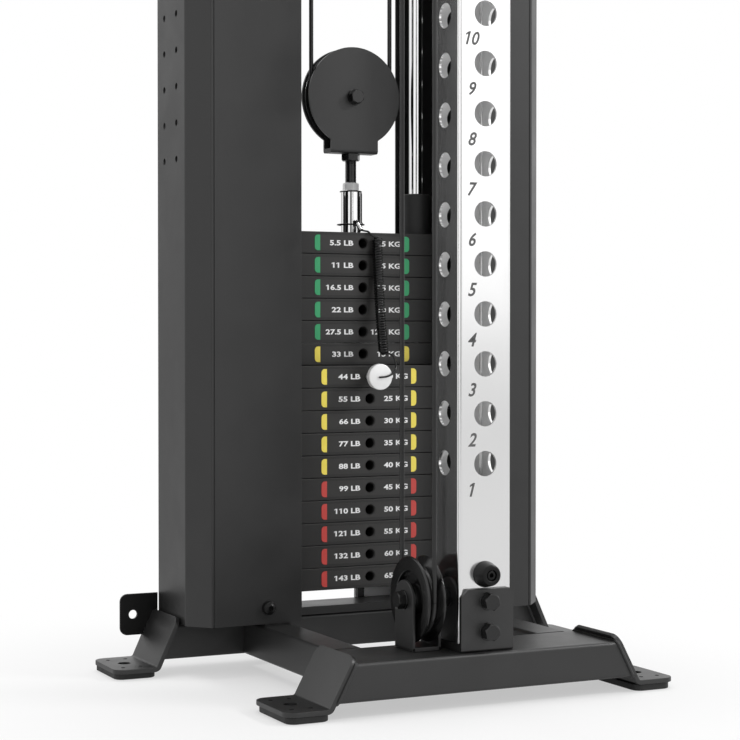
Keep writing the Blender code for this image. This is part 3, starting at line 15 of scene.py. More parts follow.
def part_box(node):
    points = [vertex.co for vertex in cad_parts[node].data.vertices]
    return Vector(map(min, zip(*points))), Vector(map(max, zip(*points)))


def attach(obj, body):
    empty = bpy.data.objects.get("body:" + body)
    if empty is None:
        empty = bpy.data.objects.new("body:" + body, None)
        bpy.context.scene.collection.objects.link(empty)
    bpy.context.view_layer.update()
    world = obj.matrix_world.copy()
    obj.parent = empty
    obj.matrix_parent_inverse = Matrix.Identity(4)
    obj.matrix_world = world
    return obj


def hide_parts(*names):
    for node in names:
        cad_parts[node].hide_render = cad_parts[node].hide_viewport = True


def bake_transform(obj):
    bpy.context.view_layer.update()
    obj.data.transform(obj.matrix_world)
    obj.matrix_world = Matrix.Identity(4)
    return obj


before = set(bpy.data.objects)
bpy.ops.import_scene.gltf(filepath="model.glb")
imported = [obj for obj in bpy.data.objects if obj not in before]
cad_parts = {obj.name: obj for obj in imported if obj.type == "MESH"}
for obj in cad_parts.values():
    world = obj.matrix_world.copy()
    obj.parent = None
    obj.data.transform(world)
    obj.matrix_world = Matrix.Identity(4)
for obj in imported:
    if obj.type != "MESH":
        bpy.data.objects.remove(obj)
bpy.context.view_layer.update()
MM = 0.001
FACE_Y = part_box("column")[0].y
RIGHT = (1, 0, 0)
BACK = (0, 1, 0)
UP = (0, 0, 1)
scene = bpy.context.scene
scene.view_settings.view_transform = "Standard"


def low(node):
    """Lowest corner of a node's box, in the working frame."""
    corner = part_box(node)[0]
    return Vector((corner.x, corner.y - FACE_Y, corner.z)) / MM


def high(node):
    """Highest corner of a node's box, in the working frame."""
    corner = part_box(node)[1]
    return Vector((corner.x, corner.y - FACE_Y, corner.z)) / MM


def ends(node):
    """Lowest and highest corner of a node's box."""
    return low(node), high(node)


def middle(node):
    return (low(node) + high(node)) / 2


# Scene data
def stored(name, shape):
    """A mesh made of a shape, which is freed."""
    data = bpy.data.meshes.new(name)
    shape.to_mesh(data)
    shape.free()
    return data


def placed(name, data):
    """A new object in the scene."""
    made = bpy.data.objects.new(name, data)
    scene.collection.objects.link(made)
    return made


# Camera
CAMERA_PLACE = (-0.9293, -1.7382, 0.3700)
CAMERA_TURN = 25.93
CAMERA_DOWN = 1.036
camera_data = bpy.data.cameras.new("camera")
camera_data.lens = 91.7
camera_data.sensor_width = 36.0
camera = placed("camera", camera_data)
camera.location = CAMERA_PLACE
camera.rotation_euler = (math.radians(90 - CAMERA_DOWN), 0, math.radians(-CAMERA_TURN))
scene.camera = camera

# Driving sizes of the machine
BEAM_BOTTOM = 16.0
BEAM_TOP = 54.0
BEAM_CORNER = 3.5
SEAT_GAP = 0.3
FOOT_PLATE = 5.0
FOOT_BEND_RADIUS = 3.0
FOOT_TOE_CORNER = 13.0
FOOT_TOP_CORNER = 11.0
FOOT_HOLE = 7.0
FRONT_BEND = 177.5
FRONT_SLOPE = math.radians(62.0)
FRONT_TOE = 45.0
FRONT_FOOT_TOP = 61.5
FRONT_BEAM = (-13.0, 86.0)
REAR_BEND = 249.0
REAR_SLOPE = math.radians(65.5)
REAR_TOE = 46.0
REAR_FOOT_TOP = 70.5
REAR_LEFT_FOOT_TOP = 64.5
REAR_BEAM = (298.0, 50.0)
REAR_FOOT_PLATE = (278.0, 83.5)
PAD_SHIFT = 3.0
FOOT_BOTTOM = 7.0
SHEET = 2.0
SHROUD_BOLT_HEAD = 8.0
CABLE_RADIUS = 2.5
PULLEY_RADIUS = 43.5
PITCH_RADIUS = 35.7
LIFT_PULLEY_RADIUS = 55.5
LIFT_PITCH_RADIUS = 49.7
PULLEY_HUB = 12.5
EXIT_HUB = 11.7
LIFT_HUB = 7.7
HOLE_PITCH = 50.0
FIRST_HOLE = 242.0
HOLE_RADIUS = 12.75
COLUMN_WALL = 2.5
COLUMN_CORNER = 4.2
NUMBER_HEIGHT = 13.7
NUMBER_DROP = 32.6
NUMBER_X = -14.8
SHOE_BOLT_HEIGHTS = (104.5, 74.0)
PLATE_PITCH = 25.1
PLATE_THICKNESS = 24.8
PLATE_COUNT = 16
SMALL_PLATES = 6
LIFTED_PLATES = 7
ROD_X = 84.5
GUIDE_ROD_RADIUS = 8.3
ROD_BORE = 8.5
SELECTOR_BORE = 11.0
PIN_BORE = 5.3
PIN_FUNNEL = 6.4
BRACKET_PLATE = 3.0
BRACKET_INNER = 13.0
BRACKET_HALF = 20.0
AXLE_RADIUS = 5.0

COLUMN_TOP = high("column").z
COLUMN_BOTTOM = low("column").z
COLUMN_SIZE = high("column").x * 2
STACK_Y = middle("left_guide_rod").y
STACK_TOP = high("weight_plate_02").z + PLATE_PITCH
LOW_PULLEY = middle("low_pulley")
CABLE_X = LOW_PULLEY.x
CABLE_Y = LOW_PULLEY.y - PITCH_RADIUS
LIFT_PULLEY = middle("travelling_pulley")
EXIT_PULLEY = middle("exit_pulley")
FRONT_TOP = middle("front_top_pulley")
REAR_TOP = middle("rear_top_pulley")
FRONT_DIAGONAL = middle("front_diagonal_pulley")
REAR_DIAGONAL = middle("rear_diagonal_pulley")
CARRIAGE_HOLE_Z = middle("pop_pin").z
PIN_Z = middle("selector_pin").z
KNOB_FRONT = low("selector_pin").y


# Outlines
def rounded(corners, steps=6):
    """An outline whose corners (a, b, radius) become arcs where a radius is given."""
    outline = []
    for i, (a, b, radius) in enumerate(corners):
        here = Vector((a, b))
        if radius <= 0:
            outline.append((a, b))
            continue
        before = (Vector(corners[i - 1][:2]) - here).normalized()
        after = (Vector(corners[(i + 1) % len(corners)][:2]) - here).normalized()
        half = before.angle(after) / 2
        centre = here + (before + after).normalized() * (radius / math.sin(half))
        start = here + before * (radius / math.tan(half)) - centre
        end = here + after * (radius / math.tan(half)) - centre
        turn = start.angle_signed(end)
        for step in range(steps + 1):
            point = centre + Matrix.Rotation(-turn * step / steps, 2) @ start
            outline.append((point.x, point.y))
    return outline


def rect(low_a, high_a, low_b, high_b, radius=0.0, steps=6):
    """A rectangle's outline, with one radius at its four corners."""
    corners = ((low_a, low_b), (high_a, low_b), (high_a, high_b), (low_a, high_b))
    return rounded([(a, b, radius) for a, b in corners], steps)


def arc(centre, radius, first, last, steps):
    """Points on an arc in a plane, with angles in degrees."""
    turns = [math.radians(first + (last - first) * i / steps) for i in range(steps + 1)]
    return [(centre[0] + radius * math.cos(t), centre[1] + radius * math.sin(t)) for t in turns]


def inset(outline, distance):
    """The same outline moved inwards by a distance."""
    ahead = outline[1:] + outline[:1]
    area = sum(a[0] * b[1] - b[0] * a[1] for a, b in zip(outline, ahead))
    side = math.copysign(1, area)
    moved = []
    for i, place in enumerate(outline):
        here = Vector(place)
        before = (here - Vector(outline[i - 1])).normalized()
        after = (Vector(ahead[i]) - here).normalized()
        inward = Vector((-before.y - after.y, before.x + after.x)).normalized() * side
        lean = max(inward.dot(Vector((-before.y, before.x)) * side), 0.3)
        moved.append(tuple(here + inward * (distance / lean)))
    return moved


# Shapes, as bmesh
def stacked(rings):
    """A solid whose ends are the first and the last of some equal rings of points."""
    shape = bmesh.new()
    rings = [[shape.verts.new(point) for point in points] for points in rings]
    shape.faces.new(rings[0])
    shape.faces.new(rings[-1])
    for lower, upper in zip(rings, rings[1:]):
        for i in range(len(lower)):
            j = (i + 1) % len(lower)
            shape.faces.new((lower[i], lower[j], upper[j], upper[i]))
    bmesh.ops.recalc_face_normals(shape, faces=shape.faces[:])
    return shape


def prism(outline, start, end, axis, edge=0.0, steps=2):
    """A closed outline pushed along an axis, with rims rounded by the edge radius."""
    def at(a, b, c):
        return {"X": (c, a, b), "Y": (a, c, b), "Z": (a, b, c)}[axis]

    levels = [(outline, start), (outline, end)]
    if edge > 0:
        turns = [math.pi / 2 * k / steps for k in range(steps + 1)]
        rims = [(inset(outline, edge * (1 - math.sin(t))), edge * (1 - math.cos(t))) for t in turns]
        levels = [(rim, start + rise) for rim, rise in rims]
        levels += [(rim, end - rise) for rim, rise in reversed(rims)]
    return stacked([[at(a, b, c) for a, b in rim] for rim, c in levels])


def axes_for(direction):
    """Two axes across a direction, and the direction itself, all of unit length."""
    along = Vector(direction).normalized()
    side = Vector(UP if abs(along.z) < 0.9 else RIGHT)
    across = (side - along * side.dot(along)).normalized()
    return across, along.cross(across), along


def spokes(direction, angles):
    """Unit vectors across a direction, one at each angle."""
    across, other, _ = axes_for(direction)
    return [across * math.cos(t) + other * math.sin(t) for t in angles]


def turned(profile, centre, direction, sides=64):
    """Turns a profile of (radius, place along the axis); one off the axis closes on itself."""
    shape = bmesh.new()
    along = Vector(direction).normalized()
    ways = spokes(direction, [2 * math.pi * i / sides for i in range(sides)])
    rings = []
    for radius, place in profile:
        base = Vector(centre) + along * place
        points = [base + way * radius for way in ways] if radius >= 1e-6 else [base]
        rings.append([shape.verts.new(point) for point in points])
    pairs = list(zip(rings, rings[1:]))
    if len(rings[0]) > 1:
        pairs.append((rings[-1], rings[0]))
    for first, second in pairs:
        for i in range(sides):
            j = (i + 1) % sides
            if len(first) == 1:
                shape.faces.new((first[0], second[i], second[j]))
            elif len(second) == 1:
                shape.faces.new((first[i], second[0], first[j]))
            else:
                shape.faces.new((first[i], second[i], second[j], first[j]))
    bmesh.ops.recalc_face_normals(shape, faces=shape.faces[:])
    return shape


def bar(radius, start, end, chamfer=0.0):
    """Profile of a round bar with chamfered ends."""
    if chamfer <= 0:
        return [(0, start), (radius, start), (radius, end), (0, end)]
    return [
        (0, start), (radius - chamfer, start), (radius, start + chamfer),
        (radius, end - chamfer), (radius - chamfer, end), (0, end),
    ]


def ring(inner, outer, start, end, chamfer=0.0):
    """Profile of a round collar with chamfered outer rims."""
    return [
        (inner, start), (outer - chamfer, start), (outer, start + chamfer),
        (outer, end - chamfer), (outer - chamfer, end), (inner, end),
    ]


def joined(*shapes):
    """One shape that holds all the given ones as separate closed bodies."""
    whole = bmesh.new()
    for shape in shapes:
        data = stored("loose", shape)
        whole.from_mesh(data)
        bpy.data.meshes.remove(data)
    return whole


def moved(shape, x=0.0, y=0.0, z=0.0):
    shape.transform(Matrix.Translation((x, y, z)))
    return shape


def flipped(shape):
    """The mirror image on the other side of the centre plane."""
    shape.transform(Matrix.Diagonal((-1, 1, 1, 1)))
    bmesh.ops.reverse_faces(shape, faces=shape.faces[:])
    return shape


def loose_object(shape):
    """A throwaway object that holds a shape while a modifier works on it."""
    return placed("loose", stored("loose", shape))


def discard(holder):
    """Removes a throwaway object and its mesh or text."""
    data = holder.data
    bpy.data.objects.remove(holder, do_unlink=True)
    if isinstance(data, bpy.types.Mesh):
        bpy.data.meshes.remove(data)
    else:
        bpy.data.curves.remove(data)


def evaluated(holder):
    """The result of a throwaway object's modifiers as a new shape."""
    graph = bpy.context.evaluated_depsgraph_get()
    data = bpy.data.meshes.new_from_object(holder.evaluated_get(graph))
    shape = bmesh.new()
    shape.from_mesh(data)
    bpy.data.meshes.remove(data)
    discard(holder)
    return shape


def combined(body, tool, operation):
    """The exact union, difference or intersection of two shapes, which are freed."""
    holder = loose_object(body)
    other = loose_object(tool)
    step = holder.modifiers.new(operation.lower(), "BOOLEAN")
    step.object = other
    step.operation = operation
    step.solver = "EXACT"
    shape = evaluated(holder)
    discard(other)
    return shape


def carved(body, *tools):
    for tool in tools:
        body = combined(body, tool, "DIFFERENCE")
    return body


def hex_head(across_flats, height, centre, direction, turn=0.0):
    """A hexagonal head or nut, chamfered where its corners meet the outer face."""
    corner = across_flats / math.sqrt(3)
    along = Vector(direction).normalized()
    ways = spokes(direction, [math.radians(turn) + math.pi / 3 * i for i in range(6)])
    levels = [Vector(centre) + along * place for place in (0, height)]
    base = stacked([[level + way * corner for way in ways] for level in levels])
    drop = corner * 0.16
    profile = [
        (0, -1), (corner * 1.1, -1), (corner * 1.1, height - drop * 1.5),
        (across_flats / 2 * 0.97, height), (0, height),
    ]
    return combined(base, turned(profile, centre, direction, 48), "INTERSECT")


# Node trees
def connect(source, target):
    """Links a socket, or a node's first output, to an input socket."""
    if isinstance(source, bpy.types.Node):
        source = source.outputs[0]
    target.id_data.links.new(source, target)


def fill(made, inputs):
    """Gives a node's inputs their values, or links them to a socket or a node's first output."""
    for key, value in inputs.items():
        if isinstance(value, (bpy.types.Node, bpy.types.NodeSocket)):
            connect(value, made.inputs[key])
        else:
            made.inputs[key].default_value = value


def add_node(tree, kind, inputs=None, **settings):
    """One node with its settings, and its inputs filled."""
    made = tree.nodes.new(kind)
    for name, value in settings.items():
        setattr(made, name, value)
    fill(made, inputs or {})
    return made


def calc(add, operation, first, second):
    return add("ShaderNodeMath", {0: first, 1: second}, operation=operation)


def label_of(key):
    """The label of a socket that is named by a plain key, such as first_hole."""
    return key.replace("_", " ").title()


def new_tree(name, kind, inputs, outputs):
    """A node tree with named sockets: what adds a node to it, what it is given and its result."""
    tree = bpy.data.node_groups.new(name, kind)
    for way, sockets in (("INPUT", inputs), ("OUTPUT", outputs)):
        for key, socket in sockets.items():
            tree.interface.new_socket(
                label_of(key), in_out=way, socket_type="NodeSocket" + socket
            )
    given = tree.nodes.new("NodeGroupInput")
    result = tree.nodes.new("NodeGroupOutput")
    return functools.partial(add_node, tree), given.outputs, result


def geometry_tree(name, **inputs):
    """A geometry tree that also takes a geometry and a material, and gives a geometry."""
    sockets = {"geometry": "Geometry", **inputs, "material": "Material"}
    return new_tree(name, "GeometryNodeTree", sockets, {"geometry": "Geometry"})


def close_geometry(add, given, result, geometry):
    """Ends a geometry tree with realised instances that have the given material."""
    real = add("GeometryNodeRealizeInstances", {"Geometry": geometry})
    dressed = add("GeometryNodeSetMaterial", {"Geometry": real, "Material": given["Material"]})
    connect(dressed, result.inputs["Geometry"])
    return result.id_data


def grown(tree, shape, material, **values):
    """Runs a geometry tree on a shape, its inputs given by name, and returns the plain result."""
    holder = loose_object(shape)
    step = holder.modifiers.new(tree.name, "NODES")
    step.node_group = tree
    wanted = {label_of(key): value for key, value in values.items()}
    wanted["Material"] = material
    for item in tree.interface.items_tree:
        if item.in_out == "INPUT" and item.name in wanted:
            step[item.identifier] = wanted[item.name]
    return evaluated(holder)


def make_cord_tree():
    """A round cord of one radius along a chain of edges, open or closed."""
    add, given, result = geometry_tree("round_cord", radius="Float", sides="Int")
    path = add("GeometryNodeMeshToCurve", {"Mesh": given["Geometry"]})
    section = add(
        "GeometryNodeCurvePrimitiveCircle",
        {"Radius": given["Radius"], "Resolution": given["Sides"]},
    )
    swept = add(
        "GeometryNodeCurveToMesh", {"Fill Caps": True, "Curve": path, "Profile Curve": section}
    )
    return close_geometry(add, given, result, swept)


def make_drilled_tube_tree():
    """A square tube on end with rounded corners and a line of round holes through all four walls."""
    add, given, result = geometry_tree(
        "drilled_tube", size="Float", wall="Float", corner="Float", height="Float",
        first_hole="Float", pitch="Float", count="Int", radius="Float",
    )

    def upward(height):
        return add("ShaderNodeCombineXYZ", {"Z": height})

    def upright_bar(size, corner, start, end):
        section = add("GeometryNodeCurvePrimitiveQuadrilateral", {"Width": size, "Height": size})
        soft = add(
            "GeometryNodeFilletCurve", {"Count": 6, "Curve": section, "Radius": corner}, mode="POLY"
        )
        spine = add(
            "GeometryNodeCurvePrimitiveLine", {"Start": upward(start), "End": upward(end)}
        )
        return add(
            "GeometryNodeCurveToMesh", {"Fill Caps": True, "Curve": spine, "Profile Curve": soft}
        )

    def less(body, tool):
        return add(
            "GeometryNodeMeshBoolean", {"Mesh 1": body, "Mesh 2": tool},
            operation="DIFFERENCE", solver="EXACT",
        )

    def punches(turn):
        line = add("GeometryNodeMeshLine", {
            "Count": given["Count"], "Start Location": upward(given["First Hole"]),
            "Offset": upward(given["Pitch"]),
        })
        punch = add("GeometryNodeMeshCylinder", {
            "Vertices": 40, "Radius": given["Radius"],
            "Depth": calc(add, "MULTIPLY", given["Size"], 2.0),
        })
        copies = add(
            "GeometryNodeInstanceOnPoints", {"Points": line, "Instance": punch, "Rotation": turn}
        )
        return add("GeometryNodeRealizeInstances", {"Geometry": copies})

    inner_size = calc(add, "SUBTRACT", given["Size"], calc(add, "MULTIPLY", given["Wall"], 2.0))
    inner_corner = calc(add, "MAXIMUM", calc(add, "SUBTRACT", given["Corner"], given["Wall"]), 0.8)
    under = calc(add, "MULTIPLY", given["Size"], -1.0)
    over = calc(add, "ADD", given["Height"], given["Size"])
    tube = less(
        upright_bar(given["Size"], given["Corner"], 0.0, given["Height"]),
        upright_bar(inner_size, inner_corner, under, over),
    )
    quarter = math.pi / 2
    for turn in ((quarter, 0, 0), (0, quarter, 0)):
        tube = less(tube, punches(turn))
    return close_geometry(add, given, result, tube)


def make_perforation_tree():
    """Rows of round holes cut through a sheet along X."""
    add, given, result = geometry_tree(
        "perforated_sheet", first="Vector", column_step="Vector", columns="Int",
        row_step="Vector", rows="Int", radius="Float", depth="Float",
    )
    across = add("GeometryNodeMeshLine", {
        "Count": given["Columns"], "Start Location": given["First"],
        "Offset": given["Column Step"],
    })
    upward = add("GeometryNodeMeshLine", {"Count": given["Rows"], "Offset": given["Row Step"]})
    grid = add("GeometryNodeInstanceOnPoints", {"Points": upward, "Instance": across})
    spots = add("GeometryNodeRealizeInstances", {"Geometry": grid})
    punch = add(
        "GeometryNodeMeshCylinder",
        {"Vertices": 20, "Radius": given["Radius"], "Depth": given["Depth"]},
    )
    punches = add(
        "GeometryNodeInstanceOnPoints",
        {"Points": spots, "Instance": punch, "Rotation": (0, math.pi / 2, 0)},
    )
    real = add("GeometryNodeRealizeInstances", {"Geometry": punches})
    cut = add(
        "GeometryNodeMeshBoolean", {"Mesh 1": given["Geometry"], "Mesh 2": real},
        operation="DIFFERENCE", solver="EXACT",
    )
    return close_geometry(add, given, result, cut)


def make_set_on_points_tree():
    """Copies of one part, such as a bolt or a tab, on every point."""
    add, given, result = geometry_tree("set_on_points", part="Object")
    part = add("GeometryNodeObjectInfo", {"Object": given["Part"]})
    copies = add(
        "GeometryNodeInstanceOnPoints",
        {"Points": given["Geometry"], "Instance": part.outputs["Geometry"]},
    )
    return close_geometry(add, given, result, copies)


CORD_TREE = make_cord_tree()
DRILLED_TUBE_TREE = make_drilled_tube_tree()
PERFORATION_TREE = make_perforation_tree()
SET_TREE = make_set_on_points_tree()


def chain(points, closed=False):
    """Points joined by edges, for a cord to follow."""
    shape = bmesh.new()
    made = [shape.verts.new(point) for point in points]
    for first, second in zip(made, made[1:]):
        shape.edges.new((first, second))
    if closed:
        shape.edges.new((made[-1], made[0]))
    return shape


def cord(points, radius, material, sides=16, closed=False):
    return grown(CORD_TREE, chain(points, closed), material, radius=float(radius), sides=sides)


def set_on(points, part, material):
    """Copies of a shape, modelled round the origin, on each of the points."""
    spots = bmesh.new()
    for point in points:
        spots.verts.new(point)
    holder = loose_object(part)
    shape = grown(SET_TREE, spots, material, part=holder)
    discard(holder)
    return shape


# Shared surface effects
def make_grain_group():
    """Fine texture of a sprayed or moulded skin, as a height, and a slow drift of the surface."""
    add, given, result = new_tree(
        "skin_grain", "ShaderNodeTree", {"grain_scale": "Float", "drift_scale": "Float"},
        {"height": "Float", "drift": "Float"},
    )
    place = add("ShaderNodeTexCoord").outputs["Object"]
    close_up = {"Vector": place, "Scale": given["Grain Scale"]}
    fine = add("ShaderNodeTexNoise", {**close_up, "Detail": 3.0, "Roughness": 0.6})
    cells = add("ShaderNodeTexVoronoi", close_up, feature="SMOOTH_F1")
    both = add("ShaderNodeMath", {0: cells, 1: 0.6, 2: fine}, operation="MULTIPLY_ADD")
    slow = add("ShaderNodeTexNoise", {
        "Vector": place, "Scale": given["Drift Scale"], "Detail": 4.0, "Roughness": 0.55,
        "Distortion": 0.3,
    })
    connect(both, result.inputs["Height"])
    connect(slow, result.inputs["Drift"])
    return result.id_data


def make_blend_group():
    """A value and a colour that move between two ends as a mask goes from 0 to 1."""
    add, given, result = new_tree(
        "drifting_finish", "ShaderNodeTree",
        {"mask": "Float", "first_colour": "Color", "second_colour": "Color",
         "first_roughness": "Float", "second_roughness": "Float"},
        {"colour": "Color", "roughness": "Float"},
    )
    sharper = add("ShaderNodeMapRange", {
        "From Min": 0.35, "From Max": 0.65, "To Min": 0.0, "To Max": 1.0, "Value": given["Mask"],
    })
    mix = add(
        "ShaderNodeMix", {0: sharper, 6: given["First Colour"], 7: given["Second Colour"]},
        data_type="RGBA",
    )
    rough = add("ShaderNodeMapRange", {
        "Value": sharper, "To Min": given["First Roughness"], "To Max": given["Second Roughness"],
    })
    connect(mix.outputs[2], result.inputs["Colour"])
    connect(rough, result.inputs["Roughness"])
    return result.id_data


def make_rub_group():
    """Faint hair scratches and wiped smudges, as one mask."""
    add, given, result = new_tree(
        "rub_marks", "ShaderNodeTree", {"scale": "Float", "stretch": "Vector", "amount": "Float"},
        {"mask": "Float"},
    )
    place = add("ShaderNodeTexCoord").outputs["Object"]
    long_way = add("ShaderNodeVectorMath", {0: place, 1: given["Stretch"]}, operation="MULTIPLY")
    hairs = add("ShaderNodeTexNoise", {
        "Vector": long_way, "Scale": given["Scale"], "Detail": 5.0, "Roughness": 0.7,
    })
    thin = add("ShaderNodeMapRange", {
        "From Min": 0.56, "From Max": 0.74, "Value": hairs, "To Max": given["Amount"],
    })
    connect(thin, result.inputs["Mask"])
    return result.id_data


GRAIN = make_grain_group()
DRIFT = make_blend_group()
RUB = make_rub_group()


def finish(
    name, colours, roughness, metallic=0.0, grain=900.0, drift=14.0, relief=0.05,
    rub=0.0, stretch=(1.0, 1.0, 0.05), specular=0.5, coat=0.0, warmth=0.0,
):
    """A Principled finish whose colour, roughness and relief follow the shared effects.

    A colour is red, green and blue, or one level of grey that may be a little warm."""
    made = bpy.data.materials.new(name)
    made.use_nodes = True
    add = functools.partial(add_node, made.node_tree)
    first, second = (
        (c * (1 + warmth), c, c * (1 - warmth), 1.0) if isinstance(c, float) else (*c, 1.0)
        for c in colours
    )
    skin = add("ShaderNodeGroup", {"Grain Scale": grain, "Drift Scale": drift}, node_tree=GRAIN)
    rubbed = add(
        "ShaderNodeGroup", {"Scale": drift * 9, "Stretch": stretch, "Amount": rub}, node_tree=RUB
    )
    mask = add(
        "ShaderNodeMath", {0: skin.outputs["Drift"], 1: rubbed}, operation="ADD", use_clamp=True
    )
    look = add("ShaderNodeGroup", {
        "Mask": mask, "First Colour": first, "Second Colour": second,
        "First Roughness": roughness[0], "Second Roughness": roughness[1],
    }, node_tree=DRIFT)
    bump = add(
        "ShaderNodeBump",
        {"Strength": relief, "Distance": 0.001, "Height": skin.outputs["Height"]},
    )
    fill(made.node_tree.nodes["Principled BSDF"], {
        "Metallic": metallic, "Specular IOR Level": specular, "Coat Weight": coat,
        "Coat Roughness": 0.12, "Base Color": look.outputs["Colour"],
        "Roughness": look.outputs["Roughness"], "Normal": bump,
    })
    return made


POWDER = finish(
    "black_powder_coat", (0.013, 0.017), (0.36, 0.44), grain=1300.0, relief=0.10,
    rub=0.10, specular=0.60,
)
PLATE_PAINT = finish(
    "weight_plate_paint", (0.012, 0.015), (0.42, 0.52), grain=1500.0, relief=0.14,
    rub=0.12, stretch=(0.06, 1.0, 1.0), warmth=0.03,
)
LABEL_GREY = finish(
    "label_grey", (0.021, 0.026), (0.42, 0.50), grain=2400.0, relief=0.03,
    warmth=0.04,
)
SATIN_CHROME = finish(
    "satin_chrome", (0.99, 0.97), (0.13, 0.18), metallic=1.0, grain=260.0,
    relief=0.004, rub=0.25, drift=7.0,
)
BARE_STEEL = finish(
    "pale_tube_inside", (0.84, 0.78), (0.45, 0.55), grain=700.0, relief=0.03, coat=0.3,
)
CHROME = finish(
    "polished_chrome", (0.94, 0.90), (0.05, 0.10), metallic=1.0, grain=260.0,
    relief=0.004, rub=0.5, drift=9.0,
)
PALE_METAL = finish(
    "pale_knob_metal", (0.97, 0.93), (0.20, 0.26), metallic=0.35, relief=0.01,
)
ZINC = finish(
    "zinc_plating", (0.82, 0.72), (0.30, 0.42), metallic=0.55, grain=1800.0, relief=0.06,
)
BLACK_STEEL = finish(
    "blackened_steel", (0.005, 0.008), (0.15, 0.22), grain=1800.0, relief=0.03,
    rub=0.2, specular=0.55,
)
RUBBER = finish(
    "black_rubber", (0.008, 0.012), (0.50, 0.62), grain=2200.0, relief=0.14,
)
GLOSSY_VINYL = finish(
    "glossy_vinyl", (0.004, 0.006), (0.09, 0.13), relief=0.02, specular=0.45,
)
SHADED_RUBBER = finish(
    "shaded_rubber", (0.005, 0.008), (0.26, 0.34), grain=1500.0, relief=0.04,
    specular=0.2,
)
# A darker, less glossy copy of the powder coat: painted shade for the link plate's face, which stands
# in shade.
SHADED_POWDER = finish(
    "shaded_powder", (0.006, 0.009), (0.36, 0.44), grain=1800.0, relief=0.03,
    specular=0.2,
)
# Pale finish for the skin on the rear low plate's face: painted reflection, not the plate's own
# colour.
PALE_PAINTED_REFLECTION = finish(
    "bright_zinc", (0.90, 0.84), (0.30, 0.40), metallic=0.15, grain=1800.0, relief=0.03,
)
NYLON = finish(
    "pulley_nylon", (0.004, 0.007), (0.16, 0.22), relief=0.02, rub=0.2,
    stretch=(1.0, 1.0, 1.0), specular=0.6,
)
CABLE_COAT = finish(
    "cable_coat", (0.018, 0.024), (0.16, 0.24), grain=700.0, relief=0.04,
    specular=0.4,
)
INK_DARK = finish(
    "number_ink", (0.07, 0.12), (0.45, 0.55), grain=2000.0, relief=0.03,
)
INK_WHITE = finish(
    "label_white", (0.94, 0.88), (0.48, 0.56), grain=2600.0, relief=0.04, rub=0.2,
)
INK_GREEN, INK_YELLOW, INK_RED = (
    finish("label_" + name, colours, (0.42, 0.50), grain=2600.0, relief=0.04)
    for name, *colours in (
        ("green", (0.035, 0.36, 0.145), (0.045, 0.40, 0.165)),
        ("yellow", (0.95, 0.78, 0.11), (0.99, 0.82, 0.13)),
        ("red", (0.57, 0.056, 0.048), (0.62, 0.068, 0.058)),
    )
)


# Pieces
def link_mesh(name, shape, material, smooth):
    """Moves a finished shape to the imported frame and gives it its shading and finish."""
    shape.transform(Matrix.Translation((0, FACE_Y, 0)) @ Matrix.Scale(MM, 4))
    data = stored(name, shape)
    data.materials.clear()
    data.materials.append(material)
    data.shade_smooth()
    data.set_sharp_from_angle(angle=math.radians(smooth))
    made = placed(name, data)
    even = made.modifiers.new("even_shading", "WEIGHTED_NORMAL")
    even.keep_sharp = True
    return made


def piece(name, shape, material, body="frame", stands_for=(), smooth=40):
    """A finished piece that moves with a body and stands for the nodes named."""
    made = link_mesh(name, shape, material, smooth)
    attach(made, body)
    if stands_for:
        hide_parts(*stands_for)
    return made


def soften(made, width):
    """A live bevel on the sharp edges of a finished piece, under its even shading."""
    step = made.modifiers.new("edge_bevel", "BEVEL")
    step.width = width * MM
    step.segments = 2
    step.limit_method = "ANGLE"
    step.angle_limit = math.radians(40)
    step.use_clamp_overlap = True
    made.modifiers.move(made.modifiers.find("edge_bevel"), 0)


def cable(name, points, body="frame", stands_for=()):
    """A stretch of cable that rides on one body."""
    piece(name, cord(points, CABLE_RADIUS, CABLE_COAT), CABLE_COAT, body, stands_for, 60)


